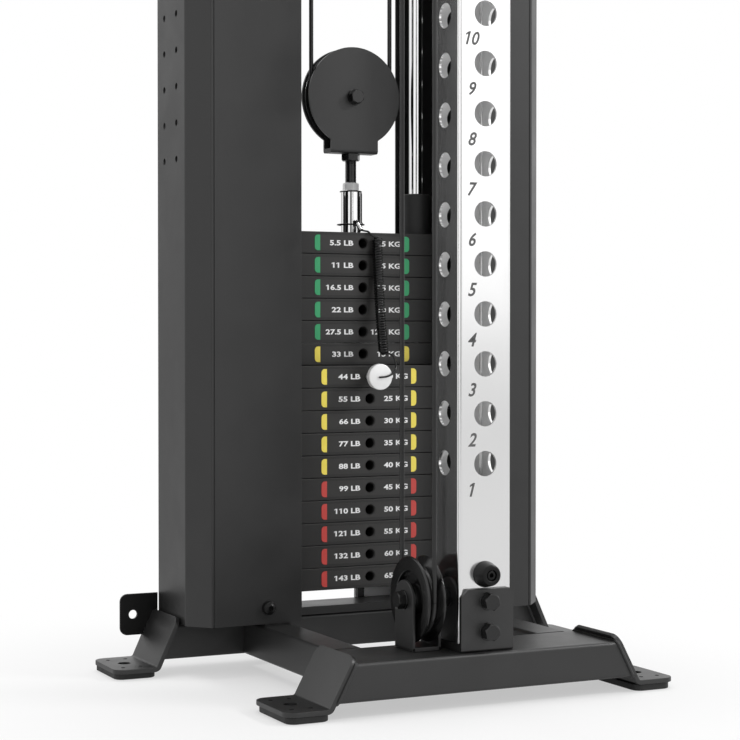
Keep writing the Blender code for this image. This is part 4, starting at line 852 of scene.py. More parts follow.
def stretched(name, points, stands_for=()):
    """A stretch of cable between two bodies joined by one joint."""
    made = link_mesh(name, cord(points, CABLE_RADIUS, CABLE_COAT), CABLE_COAT, 60)
    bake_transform(made)
    if stands_for:
        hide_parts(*stands_for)


# Foot frame
def bent_foot(bend, slope, toe, top, front, depth):
    """A foot on the +X side: a flat plate with rounded corners and holes, bent up on a radius.

    The flat pattern runs from the toe (s = 0) inwards along s, with t up through the plate."""
    tangent = FOOT_BEND_RADIUS * math.tan(slope / 2)
    flat = toe - tangent
    neutral = FOOT_BEND_RADIUS + FOOT_PLATE / 2
    curl = neutral * slope
    rise = top - FOOT_BOTTOM - FOOT_PLATE
    length = flat + curl + rise / math.sin(slope) - tangent
    outline = rounded([
        (0, front, FOOT_TOE_CORNER), (length, front, FOOT_TOP_CORNER),
        (length, front + depth, FOOT_TOP_CORNER), (0, front + depth, FOOT_TOE_CORNER),
    ], 8)
    plate = prism(outline, 0, FOOT_PLATE, "Z", 0.7)
    centre = (toe / 2, front + depth / 2)
    through = (-FOOT_PLATE, 2 * FOOT_PLATE)
    holes = [turned(bar(FOOT_HOLE, *through), (*centre, 0), UP, 32)]
    for across in (-10, 10):
        for along in (-26, 26):
            spot = (centre[0] + across, centre[1] + along, 0)
            holes.append(turned(bar(2.5, *through), spot, UP, 16))
    plate = carved(plate, joined(*holes))
    for step in range(9):
        everything = plate.verts[:] + plate.edges[:] + plate.faces[:]
        bmesh.ops.bisect_plane(
            plate, geom=everything, plane_co=(flat + curl * step / 8, 0, 0), plane_no=RIGHT
        )
    toe_x = bend + toe
    centre_z = FOOT_BOTTOM + FOOT_PLATE + FOOT_BEND_RADIUS
    for vertex in plate.verts:
        s, y, t = vertex.co
        angle = min(max((s - flat) / neutral, 0), slope)
        radius = FOOT_BEND_RADIUS + FOOT_PLATE - t
        past = max(s - flat - curl, 0)
        flat_s = min(s, flat)
        vertex.co = (
            toe_x - flat_s - radius * math.sin(angle) - past * math.cos(slope),
            y,
            centre_z - radius * math.cos(angle) + past * math.sin(slope),
        )
    bmesh.ops.recalc_face_normals(plate, faces=plate.faces[:])
    return plate


def foot_inner_x(bend, slope, z):
    """X of a foot's inner face at a height, on the +X side."""
    top_face = bend - (z - FOOT_BOTTOM - FOOT_PLATE) / math.tan(slope)
    return top_face - FOOT_PLATE / math.sin(slope)


def cross_beam(front, depth, bend, slope):
    """The tube between two feet, its ends cut to the slope, and its weld beads."""
    section = rect(front, front + depth, BEAM_BOTTOM, BEAM_TOP, BEAM_CORNER)
    tube = prism(section, -1, 1, "X")
    for vertex in tube.verts:
        vertex.co.x *= foot_inner_x(bend, slope, vertex.co.z) + 1.0
    beads = []
    for side in (-1, 1):
        around = inset(section, -0.4)
        loop = [(side * (foot_inner_x(bend, slope, z) - 0.3), y, z) for y, z in around]
        beads.append(cord(loop, 1.7, POWDER, 8, closed=True))
    return joined(tube, *beads)


def make_base(node, beam, foot, plate, left_top):
    """A cross beam with two feet; the beam and the feet's plates give their front and depth."""
    bend, slope, toe, top = foot
    right_foot = bent_foot(bend, slope, toe, top, *plate)
    left_foot = flipped(bent_foot(bend, slope, toe, left_top, *plate))
    whole = joined(cross_beam(*beam, bend, slope), right_foot, left_foot)
    piece(node + "_tube_and_feet", whole, POWDER, stands_for=[node])


def make_pads():
    for place, bend, toe in (("front", FRONT_BEND, FRONT_TOE), ("rear", REAR_BEND, REAR_TOE)):
        for side in ("right", "left"):
            name = f"pad_{place}_{side}"
            corner, other = ends(name)
            inner = bend - PAD_SHIFT
            outline = rect(inner, inner + toe, corner.y, other.y, 10.0, 8)
            pad = prism(outline, 0, other.z, "Z", 1.0)
            centre = (bend + toe / 2, (corner.y + other.y) / 2, 0)
            pad = carved(pad, turned(bar(FOOT_HOLE, -5, other.z + 5), centre, UP, 32))
            if side == "left":
                pad = flipped(pad)
            piece(name + "_rubber", pad, RUBBER, stands_for=[name])


def make_side_beams():
    for side in ("left", "right"):
        node = side + "_side_beam"
        corner, other = ends(node)
        section = rect(corner.x, other.x, BEAM_BOTTOM, BEAM_TOP, BEAM_CORNER)
        tube = prism(section, corner.y, other.y, "Y")
        tab_front = low(side + "_shroud").y + SHROUD_BOLT_HEAD + SHEET + SEAT_GAP
        outline = rect(corner.x + 4, other.x - 4, BEAM_TOP - 1, other.z, 1.5)
        tab = prism(outline, tab_front, tab_front + FOOT_PLATE, "Y", 0.5)
        piece(node + "_tube", joined(tube, tab), POWDER, stands_for=[node])


FRONT_FOOT = (FRONT_BEND, FRONT_SLOPE, FRONT_TOE, FRONT_FOOT_TOP)
REAR_FOOT = (REAR_BEND, REAR_SLOPE, REAR_TOE, REAR_FOOT_TOP)
make_base("front_base_beam", FRONT_BEAM, FRONT_FOOT, FRONT_BEAM, FRONT_FOOT_TOP)
make_base("rear_base_beam", REAR_BEAM, REAR_FOOT, REAR_FOOT_PLATE, REAR_LEFT_FOOT_TOP)
make_pads()
make_side_beams()


# Column
def make_column():
    count = int((COLUMN_TOP - 200 - FIRST_HOLE) // HOLE_PITCH) + 1
    tube = grown(
        DRILLED_TUBE_TREE, bmesh.new(), CHROME, size=COLUMN_SIZE, wall=COLUMN_WALL,
        corner=COLUMN_CORNER, height=COLUMN_TOP - COLUMN_BOTTOM,
        first_hole=FIRST_HOLE - COLUMN_BOTTOM, pitch=HOLE_PITCH, count=count, radius=HOLE_RADIUS,
    )
    moved(tube, 0, COLUMN_SIZE / 2, COLUMN_BOTTOM)
    column = piece("drilled_column", tube, SATIN_CHROME, stands_for=["column"])
    column.data.materials.append(BARE_STEEL)
    reach = (COLUMN_SIZE / 2 - 1.5) * MM
    middle_y = FACE_Y + COLUMN_SIZE / 2 * MM
    for face in column.data.polygons:
        places = [column.data.vertices[i].co for i in face.vertices]
        if all(max(abs(p.x), abs(p.y - middle_y)) < reach for p in places):
            face.material_index = 1
    inside = COLUMN_SIZE / 2 - COLUMN_WALL + 0.05
    hollow = [(inside, inside), *arc((inside - 3.0, inside - 3.0), 3.0, 90, 0, 12)]
    outline = [(x, y + COLUMN_SIZE / 2) for x, y in hollow]
    corner = prism(outline, COLUMN_BOTTOM + 20, COLUMN_TOP - 20, "Z")
    piece("tube_inner_corner", corner, CHROME)
    return count


def make_shoe():
    """The bent U shoe with two bolts in front and their nuts behind."""
    node = "column_shoe"
    corner, other = ends(node)
    wall = 4.7
    floor = 8.4
    outline = rounded([
        (corner.y, corner.z, 2), (other.y, corner.z, 2), (other.y, other.z, 1.0),
        (other.y - wall, other.z, 1.0), (other.y - wall, corner.z + floor, 1.5),
        (corner.y + wall, corner.z + floor, 1.5), (corner.y + wall, other.z, 1.0),
        (corner.y, other.z, 1.0),
    ], 3)
    shoe = prism(outline, corner.x, other.x, "X", 0.5)
    cutters = []
    for side, chamfer in ((-1, 8.0), (1, 5.0)):
        edge_x = side * other.x
        wedge = [
            (edge_x - side * (chamfer + 0.6), other.z + 0.6),
            (edge_x + side * chamfer, other.z + chamfer),
            (edge_x + side * 0.6, other.z - chamfer - 0.6),
        ]
        cutters.append(prism(wedge, corner.y - 5, other.y + 5, "Y"))
    shoe = carved(shoe, joined(*cutters))
    bolt = joined(
        hex_head(15.4, 10.6, (0, 0, 0), (0, -1, 0), 12),
        turned(bar(9.2, 0, 1.0, 0.3), (0, 0.9, 0), (0, -1, 0), 40),
    )
    heads = set_on([(0, corner.y - 1.0, z) for z in SHOE_BOLT_HEIGHTS], bolt, BLACK_STEEL)
    nut = joined(
        hex_head(13.0, 6.5, (0, 0, 0), BACK),
        turned(bar(4.0, 6, 9.5, 0.8), (0, 0, 0), BACK, 24),
    )
    nuts = set_on([(0, other.y - 0.2, z) for z in SHOE_BOLT_HEIGHTS], nut, BLACK_STEEL)
    piece("shoe_plates", shoe, POWDER, stands_for=[node])
    piece("shoe_bolts", joined(heads, nuts), BLACK_STEEL)


def make_bumper():
    node = "carriage_bumper"
    radius = high(node).x
    nose = radius - 2.6
    face = low(node).y
    back = high(node).y
    profile = [(0, back), (radius - 0.6, back), (radius, back - 0.8), (radius - 0.5, back - 3.5)]
    profile += [
        (nose - 2.2 + 2.2 * math.cos(t), face + 2.2 - 2.2 * math.sin(t))
        for t in map(math.radians, (10, 40, 65, 90))
    ]
    profile += [
        (6.4, face), (5.8, face + 0.5), (5.8, face + 4.5), (4.4, face + 4.5), (4.4, face + 1.2),
        (3.9, face + 0.8), (2.6, face + 0.8), (2.2, face + 1.2), (2.2, face + 6), (0, face + 6),
    ]
    stop = turned(profile, (0, 0, middle(node).z), BACK)
    piece("bumper_stop", stop, SHADED_RUBBER, stands_for=[node])


def islands(shape):
    """Lists of joined vertices, from left to right: one list for each letter."""
    waiting = set(shape.verts)
    found = []
    while waiting:
        group = [waiting.pop()]
        for vertex in group:
            for edge in vertex.link_edges:
                other = edge.other_vert(vertex)
                if other in waiting:
                    waiting.remove(other)
                    group.append(other)
        found.append([vertex.co.copy() for vertex in group])
    return sorted(found, key=lambda places: sum(place.x for place in places) / len(places))


def add_flags(shape, text, lean):
    """A short slanted flag at the top left of every figure one."""
    for sign, places in zip(text.replace(" ", ""), islands(shape)):
        if sign != "1":
            continue
        top = max(place.y for place in places)
        tall = top - min(place.y for place in places)
        left = min(place.x for place in places if place.y > top - 0.01 * tall)
        corners = []
        for across, down in ((0.03, 0.0), (-0.20, 0.14), (-0.20, 0.30), (0.03, 0.19)):
            corners.append((left + (across - lean * down) * tall, top - down * tall))
        flag = prism(corners, min(p.z for p in places), max(p.z for p in places), "Z")
        shape = joined(shape, flag)
    return shape


def letters(text, height, lean=0.0, weight=0.0, width=1.0, depth=0.12):
    """Flat letters that face -Y, their lower left corner at the origin, with a given cap height."""
    curve = bpy.data.curves.new("loose", "FONT")
    curve.body = text
    curve.shear = lean
    curve.offset = weight
    curve.extrude = 0.01
    curve.resolution_u = 3
    shape = evaluated(placed("loose", curve))
    bmesh.ops.remove_doubles(shape, verts=shape.verts, dist=0.0005)
    shape = add_flags(shape, text, lean)
    lows = [min(v.co[i] for v in shape.verts) for i in range(3)]
    highs = [max(v.co[i] for v in shape.verts) for i in range(3)]
    scale = height / (highs[1] - lows[1])
    thick = depth / (highs[2] - lows[2])
    shape.transform(Matrix.Translation((-lows[0], -lows[1], -lows[2])))
    shape.transform(Matrix.Diagonal((scale * width, scale, thick, 1)))
    shape.transform(Matrix.Rotation(math.pi / 2, 4, "X"))
    return shape


def width_of(shape):
    return max(v.co.x for v in shape.verts) - min(v.co.x for v in shape.verts)


def make_numbers(count):
    """Hole numbers on the column's front, one under each hole."""
    shapes = []
    for number in range(1, count + 1):
        digits = letters(str(number), NUMBER_HEIGHT, lean=0.30, weight=0.020, width=0.92)
        z = FIRST_HOLE + HOLE_PITCH * (number - 1) - NUMBER_DROP
        shapes.append(moved(digits, NUMBER_X - width_of(digits) / 2, 0.04, z))
    piece("hole_numbers", joined(*shapes), INK_DARK)


HOLE_COUNT = make_column()
make_shoe()
make_bumper()
make_numbers(HOLE_COUNT)


# Pulleys
def pulley_profile(radius, pitch, half_width, hub, hub_radius=12.0):
    """Half section of a pulley: hub, recessed web, rim and a round-bottomed groove."""
    bore = AXLE_RADIUS + 0.25
    web = half_width * 0.45
    groove = [
        (pitch + 0.3 - 2.9 * math.cos(t), 2.9 * math.sin(t))
        for t in map(math.radians, range(-60, 61, 15))
    ]
    one_side = [
        (bore, -hub), (hub_radius - 0.6, -hub), (hub_radius, -hub + 0.6),
        (hub_radius + 1.0, -half_width + 0.8), (hub_radius + 3.0, -half_width + 0.8),
        (hub_radius + 4.2, -web), (pitch - 8.0, -web), (pitch - 7.0, -half_width + 1.2),
        (pitch - 6.6, -half_width + 0.4), (pitch - 5.8, -half_width),
    ]
    lip = 1.7
    one_side += [
        (radius - lip + lip * math.sin(t), -half_width + lip - lip * math.cos(t))
        for t in map(math.radians, (0, 22, 45, 68, 90))
    ]
    one_side.append((radius - 0.7, -half_width + 2.5))
    other_side = [(r, -a) for r, a in reversed(one_side)]
    return one_side + groove + other_side


def make_pulley(node, axis, hub, radius=PULLEY_RADIUS, pitch=PITCH_RADIUS, half_width=10.0):
    profile = pulley_profile(radius, pitch, half_width, hub)
    shape = turned(profile, middle(node), axis, 96)
    piece(node + "_wheel", shape, NYLON, node, stands_for=[node], smooth=28)


diagonal_way = (REAR_DIAGONAL - FRONT_DIAGONAL).normalized()
diagonal_axis = Vector((diagonal_way.y, -diagonal_way.x, 0))
for name in ("low_pulley", "front_top_pulley", "rear_top_pulley"):
    make_pulley(name, RIGHT, PULLEY_HUB)
for name in ("front_diagonal_pulley", "rear_diagonal_pulley"):
    make_pulley(name, diagonal_axis, PULLEY_HUB, (high(name).z - low(name).z) / 2)
make_pulley("exit_pulley", RIGHT, EXIT_HUB)
make_pulley("travelling_pulley", BACK, LIFT_HUB, LIFT_PULLEY_RADIUS, LIFT_PITCH_RADIUS, 6.5)


def axle(centre, direction, outer, head=7.0, across=14.0, washer=0.0):
    """A bolt with a hex head at the start, a nut at the end and washers under both."""
    way = Vector(direction).normalized()
    start = Vector(centre) - way * outer
    end = Vector(centre) + way * outer
    parts = [
        turned(bar(AXLE_RADIUS, -outer, outer), centre, direction, 32),
        hex_head(across, head, start - way * washer, -way, 10),
        hex_head(across, head - 1.5, end + way * washer, way),
        turned(bar(AXLE_RADIUS - 1, 0, head + 0.5, 0.8), end, direction, 24),
    ]
    if washer > 0:
        parts.append(turned(bar(across * 0.64, -washer, 0.1, 0.3), start, direction, 40))
        parts.append(turned(bar(across * 0.64, -0.1, washer, 0.3), end, direction, 40))
    return joined(*parts)


def make_low_bracket():
    """U bracket with round-topped cheeks on the front beam."""
    inner = BRACKET_INNER
    outer = inner + BRACKET_PLATE
    floor = low("low_pulley_bracket").z
    web = prism(
        rect(CABLE_X - outer, CABLE_X + outer, floor, floor + BRACKET_PLATE + 1, 1.6),
        LOW_PULLEY.y - BRACKET_HALF, LOW_PULLEY.y + BRACKET_HALF, "Y", 0.5,
    )
    cheek = rect(
        LOW_PULLEY.y - BRACKET_HALF, LOW_PULLEY.y + BRACKET_HALF, floor + 0.5, LOW_PULLEY.z
    )[:2]
    cheek += arc((LOW_PULLEY.y, LOW_PULLEY.z), BRACKET_HALF, 0, 180, 24)
    cheeks = [
        prism(cheek, CABLE_X + side, CABLE_X + side + BRACKET_PLATE, "X", 0.5)
        for side in (-outer, inner)
    ]
    piece("low_bracket_plates", joined(web, *cheeks), POWDER, stands_for=["low_pulley_bracket"])
    bolt = axle(LOW_PULLEY, RIGHT, outer, 7.4, 15.4, 1.5)
    piece("low_pulley_bolt", bolt, BLACK_STEEL)


make_low_bracket()


# Weight stack
def plate_top(row_number):
    return STACK_TOP - PLATE_PITCH * (row_number - 1)


def plate_shape(half, front, rear):
    """One plate with its top face at Z = 0: rod holes, selector bore and pin hole."""
    plate = prism(rect(-half, half, front, rear, 1.5, 3), -PLATE_THICKNESS, 0, "Z", 0.9, 3)
    over = PLATE_THICKNESS + 5
    bores = [
        turned(bar(radius, -over, 5), (x, STACK_Y, 0), UP, 40)
        for x, radius in ((-ROD_X, ROD_BORE), (ROD_X, ROD_BORE), (0, SELECTOR_BORE))
    ]
    pin = turned([
        (0, front - 5), (PIN_FUNNEL, front - 5), (PIN_FUNNEL, front - 0.2),
        (PIN_BORE, front + 0.9), (PIN_BORE, STACK_Y), (0, STACK_Y),
    ], (0, 0, -PLATE_THICKNESS / 2), BACK, 40)
    return carved(plate, joined(*bores), pin)


def make_plates():
    shapes = {}
    for is_small, node in ((True, "weight_plate_02"), (False, "weight_plate_08")):
        corner, other = ends(node)
        shapes[is_small] = plate_shape(other.x, corner.y, other.y)
    for number in range(1, PLATE_COUNT + 1):
        shape = moved(shapes[number <= SMALL_PLATES].copy(), 0, 0, plate_top(number))
        body = "lifted_weights" if number <= LIFTED_PLATES else "frame"
        node = f"weight_plate_{number:02d}"
        piece(node + "_cast", shape, PLATE_PAINT, body, stands_for=[node], smooth=35)
    for shape in shapes.values():
        shape.free()
    sleeve = ring(ROD_BORE, 17.0, STACK_TOP - 2, high("weight_plate_01").z, 1.2)
    sleeves = [turned(sleeve, (x, STACK_Y, 0), UP) for x in (-ROD_X, ROD_X)]
    piece("guide_sleeves", joined(*sleeves), RUBBER, "lifted_weights")


LABEL_SHIFT = -0.9
LABEL_HALF = 59.4
LABEL_HALF_HEIGHT = 8.8
LABEL_CORNER = 4.0
TAB_WIDTH = 6.7
LABEL_SKIN = 0.25
LABEL_SINK = 0.02
INK_HEIGHT = 6.0
INK_WIDTH = 1.45
POUNDS_PER_KILO = 2.2
POUNDS_RIGHT = -12.4
KILOS_RIGHT = 47.4


def label_face(number):
    """Y of a plate's front face and Z of its label."""
    node = f"weight_plate_{number:02d}"
    return low(node).y, plate_top(number) - PLATE_THICKNESS / 2


def label_body(numbers, body):
    """Grey label strips with a hole for the pin."""
    half = LABEL_HALF - TAB_WIDTH
    outline = rect(-half, half, -LABEL_HALF_HEIGHT, LABEL_HALF_HEIGHT)
    strip = prism(outline, -LABEL_SKIN, LABEL_SINK, "Y")
    strip = carved(strip, turned(bar(6.6, -3, 3), (-LABEL_SHIFT, 0, 0), BACK, 40))
    spots = [(LABEL_SHIFT, *label_face(number)) for number in numbers]
    piece("label_strips_" + body, set_on(spots, strip, LABEL_GREY), LABEL_GREY, body)


def label_tabs(numbers, material, body):
    """Coloured ends of the labels, rounded on their outer corners."""
    inner = LABEL_HALF - TAB_WIDTH
    h = LABEL_HALF_HEIGHT
    outline = rounded([
        (inner, -h, 0), (LABEL_HALF, -h, LABEL_CORNER), (LABEL_HALF, h, LABEL_CORNER), (inner, h, 0),
    ])
    tab = prism(outline, -LABEL_SKIN - 0.1, LABEL_SINK, "Y", 0.1)
    pair = joined(flipped(tab.copy()), tab)
    spots = [(LABEL_SHIFT, *label_face(number)) for number in numbers]
    name = f"{material.name}_tabs_{body}"
    piece(name, set_on(spots, pair, material), material, body)


def label_text(numbers, body):
    """Weights in pounds left of the pin hole and in kilograms right of it."""
    shapes = []
    for number in numbers:
        face, z = label_face(number)
        kilos = 2.5 * min(number, SMALL_PLATES) + 5.0 * max(number - SMALL_PLATES, 0)
        pounds = kilos * POUNDS_PER_KILO
        for text, right in ((f"{pounds:g} LB", POUNDS_RIGHT), (f"{kilos:g} KG", KILOS_RIGHT)):
            word = letters(text, INK_HEIGHT, weight=0.030, width=INK_WIDTH)
            x = right - width_of(word)
            shapes.append(moved(word, x, face - LABEL_SKIN + LABEL_SINK, z - INK_HEIGHT / 2))
    piece("label_weights_" + body, joined(*shapes), INK_WHITE, body)


LIFTED = range(1, LIFTED_PLATES + 1)
RESTING = range(LIFTED_PLATES + 1, PLATE_COUNT + 1)
FIRST_RED = 12
make_plates()
for rows, body in ((LIFTED, "lifted_weights"), (RESTING, "frame")):
    label_body(rows, body)
    label_text(rows, body)
label_tabs(range(1, SMALL_PLATES), INK_GREEN, "lifted_weights")
label_tabs(range(SMALL_PLATES, LIFTED_PLATES + 1), INK_YELLOW, "lifted_weights")
label_tabs(range(LIFTED_PLATES + 1, FIRST_RED), INK_YELLOW, "frame")
label_tabs(range(FIRST_RED, PLATE_COUNT + 1), INK_RED, "frame")

COLLAR_BOTTOM = STACK_TOP + 0.3
COLLAR_TOP = COLLAR_BOTTOM + 49.3
STEM_TOP = high("selector_rod").z
THREAD_START = COLLAR_TOP + 8.0
THREAD_STEP = 0.875
THREAD_CREST = 6.5
THREAD_DEPTH = 0.35
TOP_NUT = 8.0
UPPER_WIRE = COLLAR_TOP - 1.2
LOWER_WIRE = 497.8


def make_selector_rod():
    """Drilled rod, chrome collar with its wire rings, threaded end and nuts."""
    foot = low("selector_rod").z
    centre = (0, STACK_Y, 0)
    rod = turned(bar(10.0, foot, COLLAR_BOTTOM + 1, 1.5), centre, UP, 48)
    hole = turned(bar(5.4, -20, 20), (0, 0, 0), BACK, 32)
    spots = [(0, STACK_Y, plate_top(n) - PLATE_THICKNESS / 2) for n in range(1, PLATE_COUNT + 1)]
    rod = carved(rod, set_on(spots, hole, CHROME))
    collar = turned([
        (0, COLLAR_BOTTOM), (11.5, COLLAR_BOTTOM), (11.5, COLLAR_TOP - 1), (10.5, COLLAR_TOP),
        (0, COLLAR_TOP),
    ], centre, UP)
    piece("selector_rod_chrome", joined(rod, collar), CHROME, "lifted_weights",
          stands_for=["selector_rod"])
    nut = hex_head(16.6, 8.8, (0, STACK_Y, COLLAR_TOP), UP, 20)
    piece("stem_lock_nut", nut, ZINC, "lifted_weights")
    thread = [(0, THREAD_START)]
    steps = int((STEM_TOP - TOP_NUT - THREAD_START) / THREAD_STEP)
    for i in range(steps + 1):
        radius = THREAD_CREST - THREAD_DEPTH * (i % 2)
        thread.append((radius, THREAD_START + THREAD_STEP * i))
    thread += [(THREAD_CREST, STEM_TOP), (0, STEM_TOP)]
    stem = turned(thread, centre, UP, 40)
    top_nut = hex_head(19.0, TOP_NUT, (0, STACK_Y, STEM_TOP), (0, 0, -1), 8)
    piece("stem_thread_and_nut", joined(stem, top_nut), BLACK_STEEL, "lifted_weights")
    rings = []
    for radius, z in ((12.1, UPPER_WIRE), (15.4, LOWER_WIRE)):
        loop = [(x, STACK_Y + y, z) for x, y in arc((0, 0), radius, 0, 345, 47)]
        rings.append(cord(loop, 0.75, BLACK_STEEL, 10, closed=True))
    upright = [
        (11.9, STACK_Y - 2, UPPER_WIRE), (12.6, STACK_Y - 2, COLLAR_TOP - 4),
        (12.6, STACK_Y - 2, LOWER_WIRE + 3.2), (14.8, STACK_Y - 2, LOWER_WIRE),
    ]
    rings.append(cord(upright, 0.85, BLACK_STEEL, 10))
    piece("collar_wire_rings", joined(*rings), BLACK_STEEL, "lifted_weights")


def make_guide_rods():
    for side in ("left", "right"):
        node = side + "_guide_rod"
        centre = middle(node)
        foot = (centre.x, centre.y, 0)
        rod = turned(bar(GUIDE_ROD_RADIUS, low(node).z, high(node).z, 1.0), foot, UP, 48)
        piece(node + "_chrome", rod, CHROME, stands_for=[node])
        node = side + "_buffer"
        corner, other = ends(node)
        bottom, top, outer = corner.z, other.z, other.x - centre.x
        profile = ring(8.4, outer, bottom, top, 1.6)
        profile[2:4] = [
            (outer, bottom + 2), (outer, bottom + 8.5), (outer - 1.3, bottom + 10),
            (outer - 1.3, bottom + 12), (outer, bottom + 13.5), (outer, top - 2),
        ]
        piece(node + "_ring", turned(profile, foot, UP), RUBBER, stands_for=[node])


def make_stack_base():
    node = "stack_base_plate"
    corner, other = ends(node)
    plate = prism(rect(corner.x, other.x, corner.y, other.y, 4), corner.z, other.z, "Z", 0.6)
    piece("stack_base", plate, POWDER, stands_for=[node])
    bolt = hex_head(13.0, 5.5, (0, 0, 0), UP)
    y = middle(node).y
    spots = [(x, y, other.z) for x in (corner.x + 11, other.x - 11)]
    piece("stack_base_bolts", set_on(spots, bolt, BLACK_STEEL), BLACK_STEEL)


make_selector_rod()
make_guide_rods()
make_stack_base()


# Travelling pulley's yoke
def make_yoke():
    inner = 8.0
    outer = inner + BRACKET_PLATE
    radius = 57.0
    foot_half = 29.5
    foot = low("pulley_yoke").z
    near = STACK_Y - outer
    far = STACK_Y + outer
    bent = rounded([
        (near, foot, 3.5), (far, foot, 3.5), (far, foot + 14, 0), (far - 3, foot + 14, 0),
        (far - 3, foot + 5, 1.5), (near + 3, foot + 5, 1.5), (near + 3, foot + 14, 0),
        (near, foot + 14, 0),
    ])
    shape = prism(bent, -foot_half, foot_half, "X")
    start = -90 + math.degrees(math.asin(foot_half / radius))
    cheek = [(-foot_half, foot + 9), (foot_half, foot + 9)]
    cheek += arc((0, LIFT_PULLEY.z), radius, start, 180 - start, 72)
    for y in (near, STACK_Y + inner):
        shape = combined(shape, prism(cheek, y, y + BRACKET_PLATE, "Y"), "UNION")
    yoke = piece("yoke_plates", shape, POWDER, "lifted_weights", stands_for=["pulley_yoke"])
    soften(yoke, 0.5)
    bolt = axle((0, STACK_Y, LIFT_PULLEY.z), BACK, outer, 8.0, 14.4, 1.4)
    piece("yoke_bolt", bolt, BLACK_STEEL, "lifted_weights")


make_yoke()


# Selector pin and lanyard
def make_selector_pin():
    radius, end, _ = high("selector_pin")
    back = KNOB_FRONT + 6.5
    knob = [
        (0, KNOB_FRONT), (radius - 1.6, KNOB_FRONT), (radius - 0.5, KNOB_FRONT + 0.4),
        (radius, KNOB_FRONT + 1.4), (radius, back - 1.2), (radius - 1.2, back), (7.0, back),
        (6.4, back + 2.5), (4.0, back + 3.0), (4.0, end - 2), (2.2, end), (0, end),
    ]
    pin = turned(knob, (0, 0, PIN_Z), BACK)
    piece("selector_pin_knob", pin, PALE_METAL, "selector_pin", stands_for=["selector_pin"])


COIL_RADIUS = 4.9
WIRE_RADIUS = 1.1
COIL_TURNS = 45
STEPS_PER_TURN = 16
CLIP_TOP = (0.4, 298.9, 499.2)
CLIP_FOOT = (4.3, 297.4, 491.6)
LANYARD_START = (
    (5.0, 297.0, 490.9), (5.2, 289.0, 489.6), (5.8, 280.6, 488.2), (8.6, 278.6, 484.4),
    (11.6, 277.0, 482.6),
)
COIL_KNOTS = (
    (14.1, 275.2, 482.2), (14.5, 275.0, 477.5), (15.0, 273.4, 440.0), (14.6, 267.4, 395.0),
    (13.4, 257.4, 355.0), (13.2, 256.2, 349.5),
)
LANYARD_END = (
    (16.6, 252.8, 350.4), (20.2, 247.0, 348.0), (20.9, 241.5, 340.8), (18.6, 236.8, 332.6),
    (13.2, 235.2, 327.4), (6.4, 235.0, 324.6), (-2.6, 235.2, 323.8),
)


def smooth_route(knots, steps):
    """Points on one smooth curve through the knots."""
    padded = [knots[0], *knots, knots[-1]]
    route = []
    for i in range(1, len(padded) - 2):
        a, b, c, d = (Vector(padded[i + k]) for k in (-1, 0, 1, 2))
        for step in range(steps):
            t = step / steps
            route.append(
                0.5 * (2 * b + (c - a) * t + (2 * a - 5 * b + 4 * c - d) * t * t
                       + (3 * b - a - 3 * c + d) * t * t * t)
            )
    route.append(Vector(knots[-1]))
    return route


def coil_points():
    """The curl: turns round a smooth centre line, opening from its two ends."""
    line = smooth_route(COIL_KNOTS, 24)
    lengths = [0.0]
    for first, second in zip(line, line[1:]):
        lengths.append(lengths[-1] + (second - first).length)
    total = COIL_TURNS * STEPS_PER_TURN
    points = []
    place = 0
    for i in range(total + 1):
        wanted = lengths[-1] * i / total
        while lengths[place + 1] < wanted and place < len(line) - 2:
            place += 1
        share = (wanted - lengths[place]) / (lengths[place + 1] - lengths[place])
        centre = line[place].lerp(line[place + 1], share)
        angle = 2 * math.pi * i / STEPS_PER_TURN
        opening = min(1.0, i / STEPS_PER_TURN, (total - i) / STEPS_PER_TURN)
        spoke, = spokes(line[place + 1] - line[place], [angle])
        points.append(centre + spoke * COIL_RADIUS * opening)
    return points


def make_lanyard():
    route = smooth_route(LANYARD_START, 4) + coil_points() + smooth_route(LANYARD_END, 4)
    shape = cord(route, WIRE_RADIUS, GLOSSY_VINYL, 10)
    made = link_mesh("lanyard_curl", shape, GLOSSY_VINYL, 60)
    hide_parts("pin_lanyard")
    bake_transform(made)
    clip = joined(
        cord([CLIP_TOP, (1.9, 298.4, 495.9)], 2.7, CHROME, 20),
        cord([(2.2, 298.3, 495.3), CLIP_FOOT], 2.9, CHROME, 20),
    )
    piece("lanyard_clip", clip, CHROME, "lifted_weights")
    ends = joined(
        cord([(-1.0, 299.4, 502.0), (0.6, 298.9, 498.6)], 2.7, GLOSSY_VINYL, 20),
        cord([CLIP_TOP, CLIP_FOOT], 2.2, GLOSSY_VINYL, 20),
        cord([CLIP_FOOT, (5.3, 296.9, 490.1)], 2.3, GLOSSY_VINYL, 20),
        cord([(-1.8, 299.6, 497.5), (-3.0, 299.8, 488.2)], 0.9, GLOSSY_VINYL, 10),
    )
    piece("lanyard_clip_ends", ends, GLOSSY_VINYL, "lifted_weights")


make_selector_pin()
make_lanyard()

# Shrouds and link plate
SHROUD_FRONT = low("right_shroud").y + SHROUD_BOLT_HEAD
SHROUD_REAR = high("right_shroud").y
SHROUD_OUTER = high("right_shroud").x
SHROUD_BOTTOM = low("right_shroud").z
SHROUD_TOP = high("right_shroud").z
CHAMFER_X = SHROUD_OUTER - 21.0
CHAMFER_Y = SHROUD_FRONT + 24.0
FRONT_EDGE = 93.0
REAR_EDGE = 78.0
SHROUD_BOLT_X = 133.0
SHROUD_BOLT_Z = BEAM_TOP + 20
REAR_PLATE_BOTTOM = BEAM_TOP + 0.4
REAR_PLATE_TOP = 84.0
REAR_PLATE_FRONT = 353.0
LINK_STEP_Z = 52.0
FIRST_PERFORATION = (294.0, 562.5)
PERFORATION_PITCH = 39.5
PERFORATION_COLUMN = 38.0
PERFORATION_RADIUS = 3.7


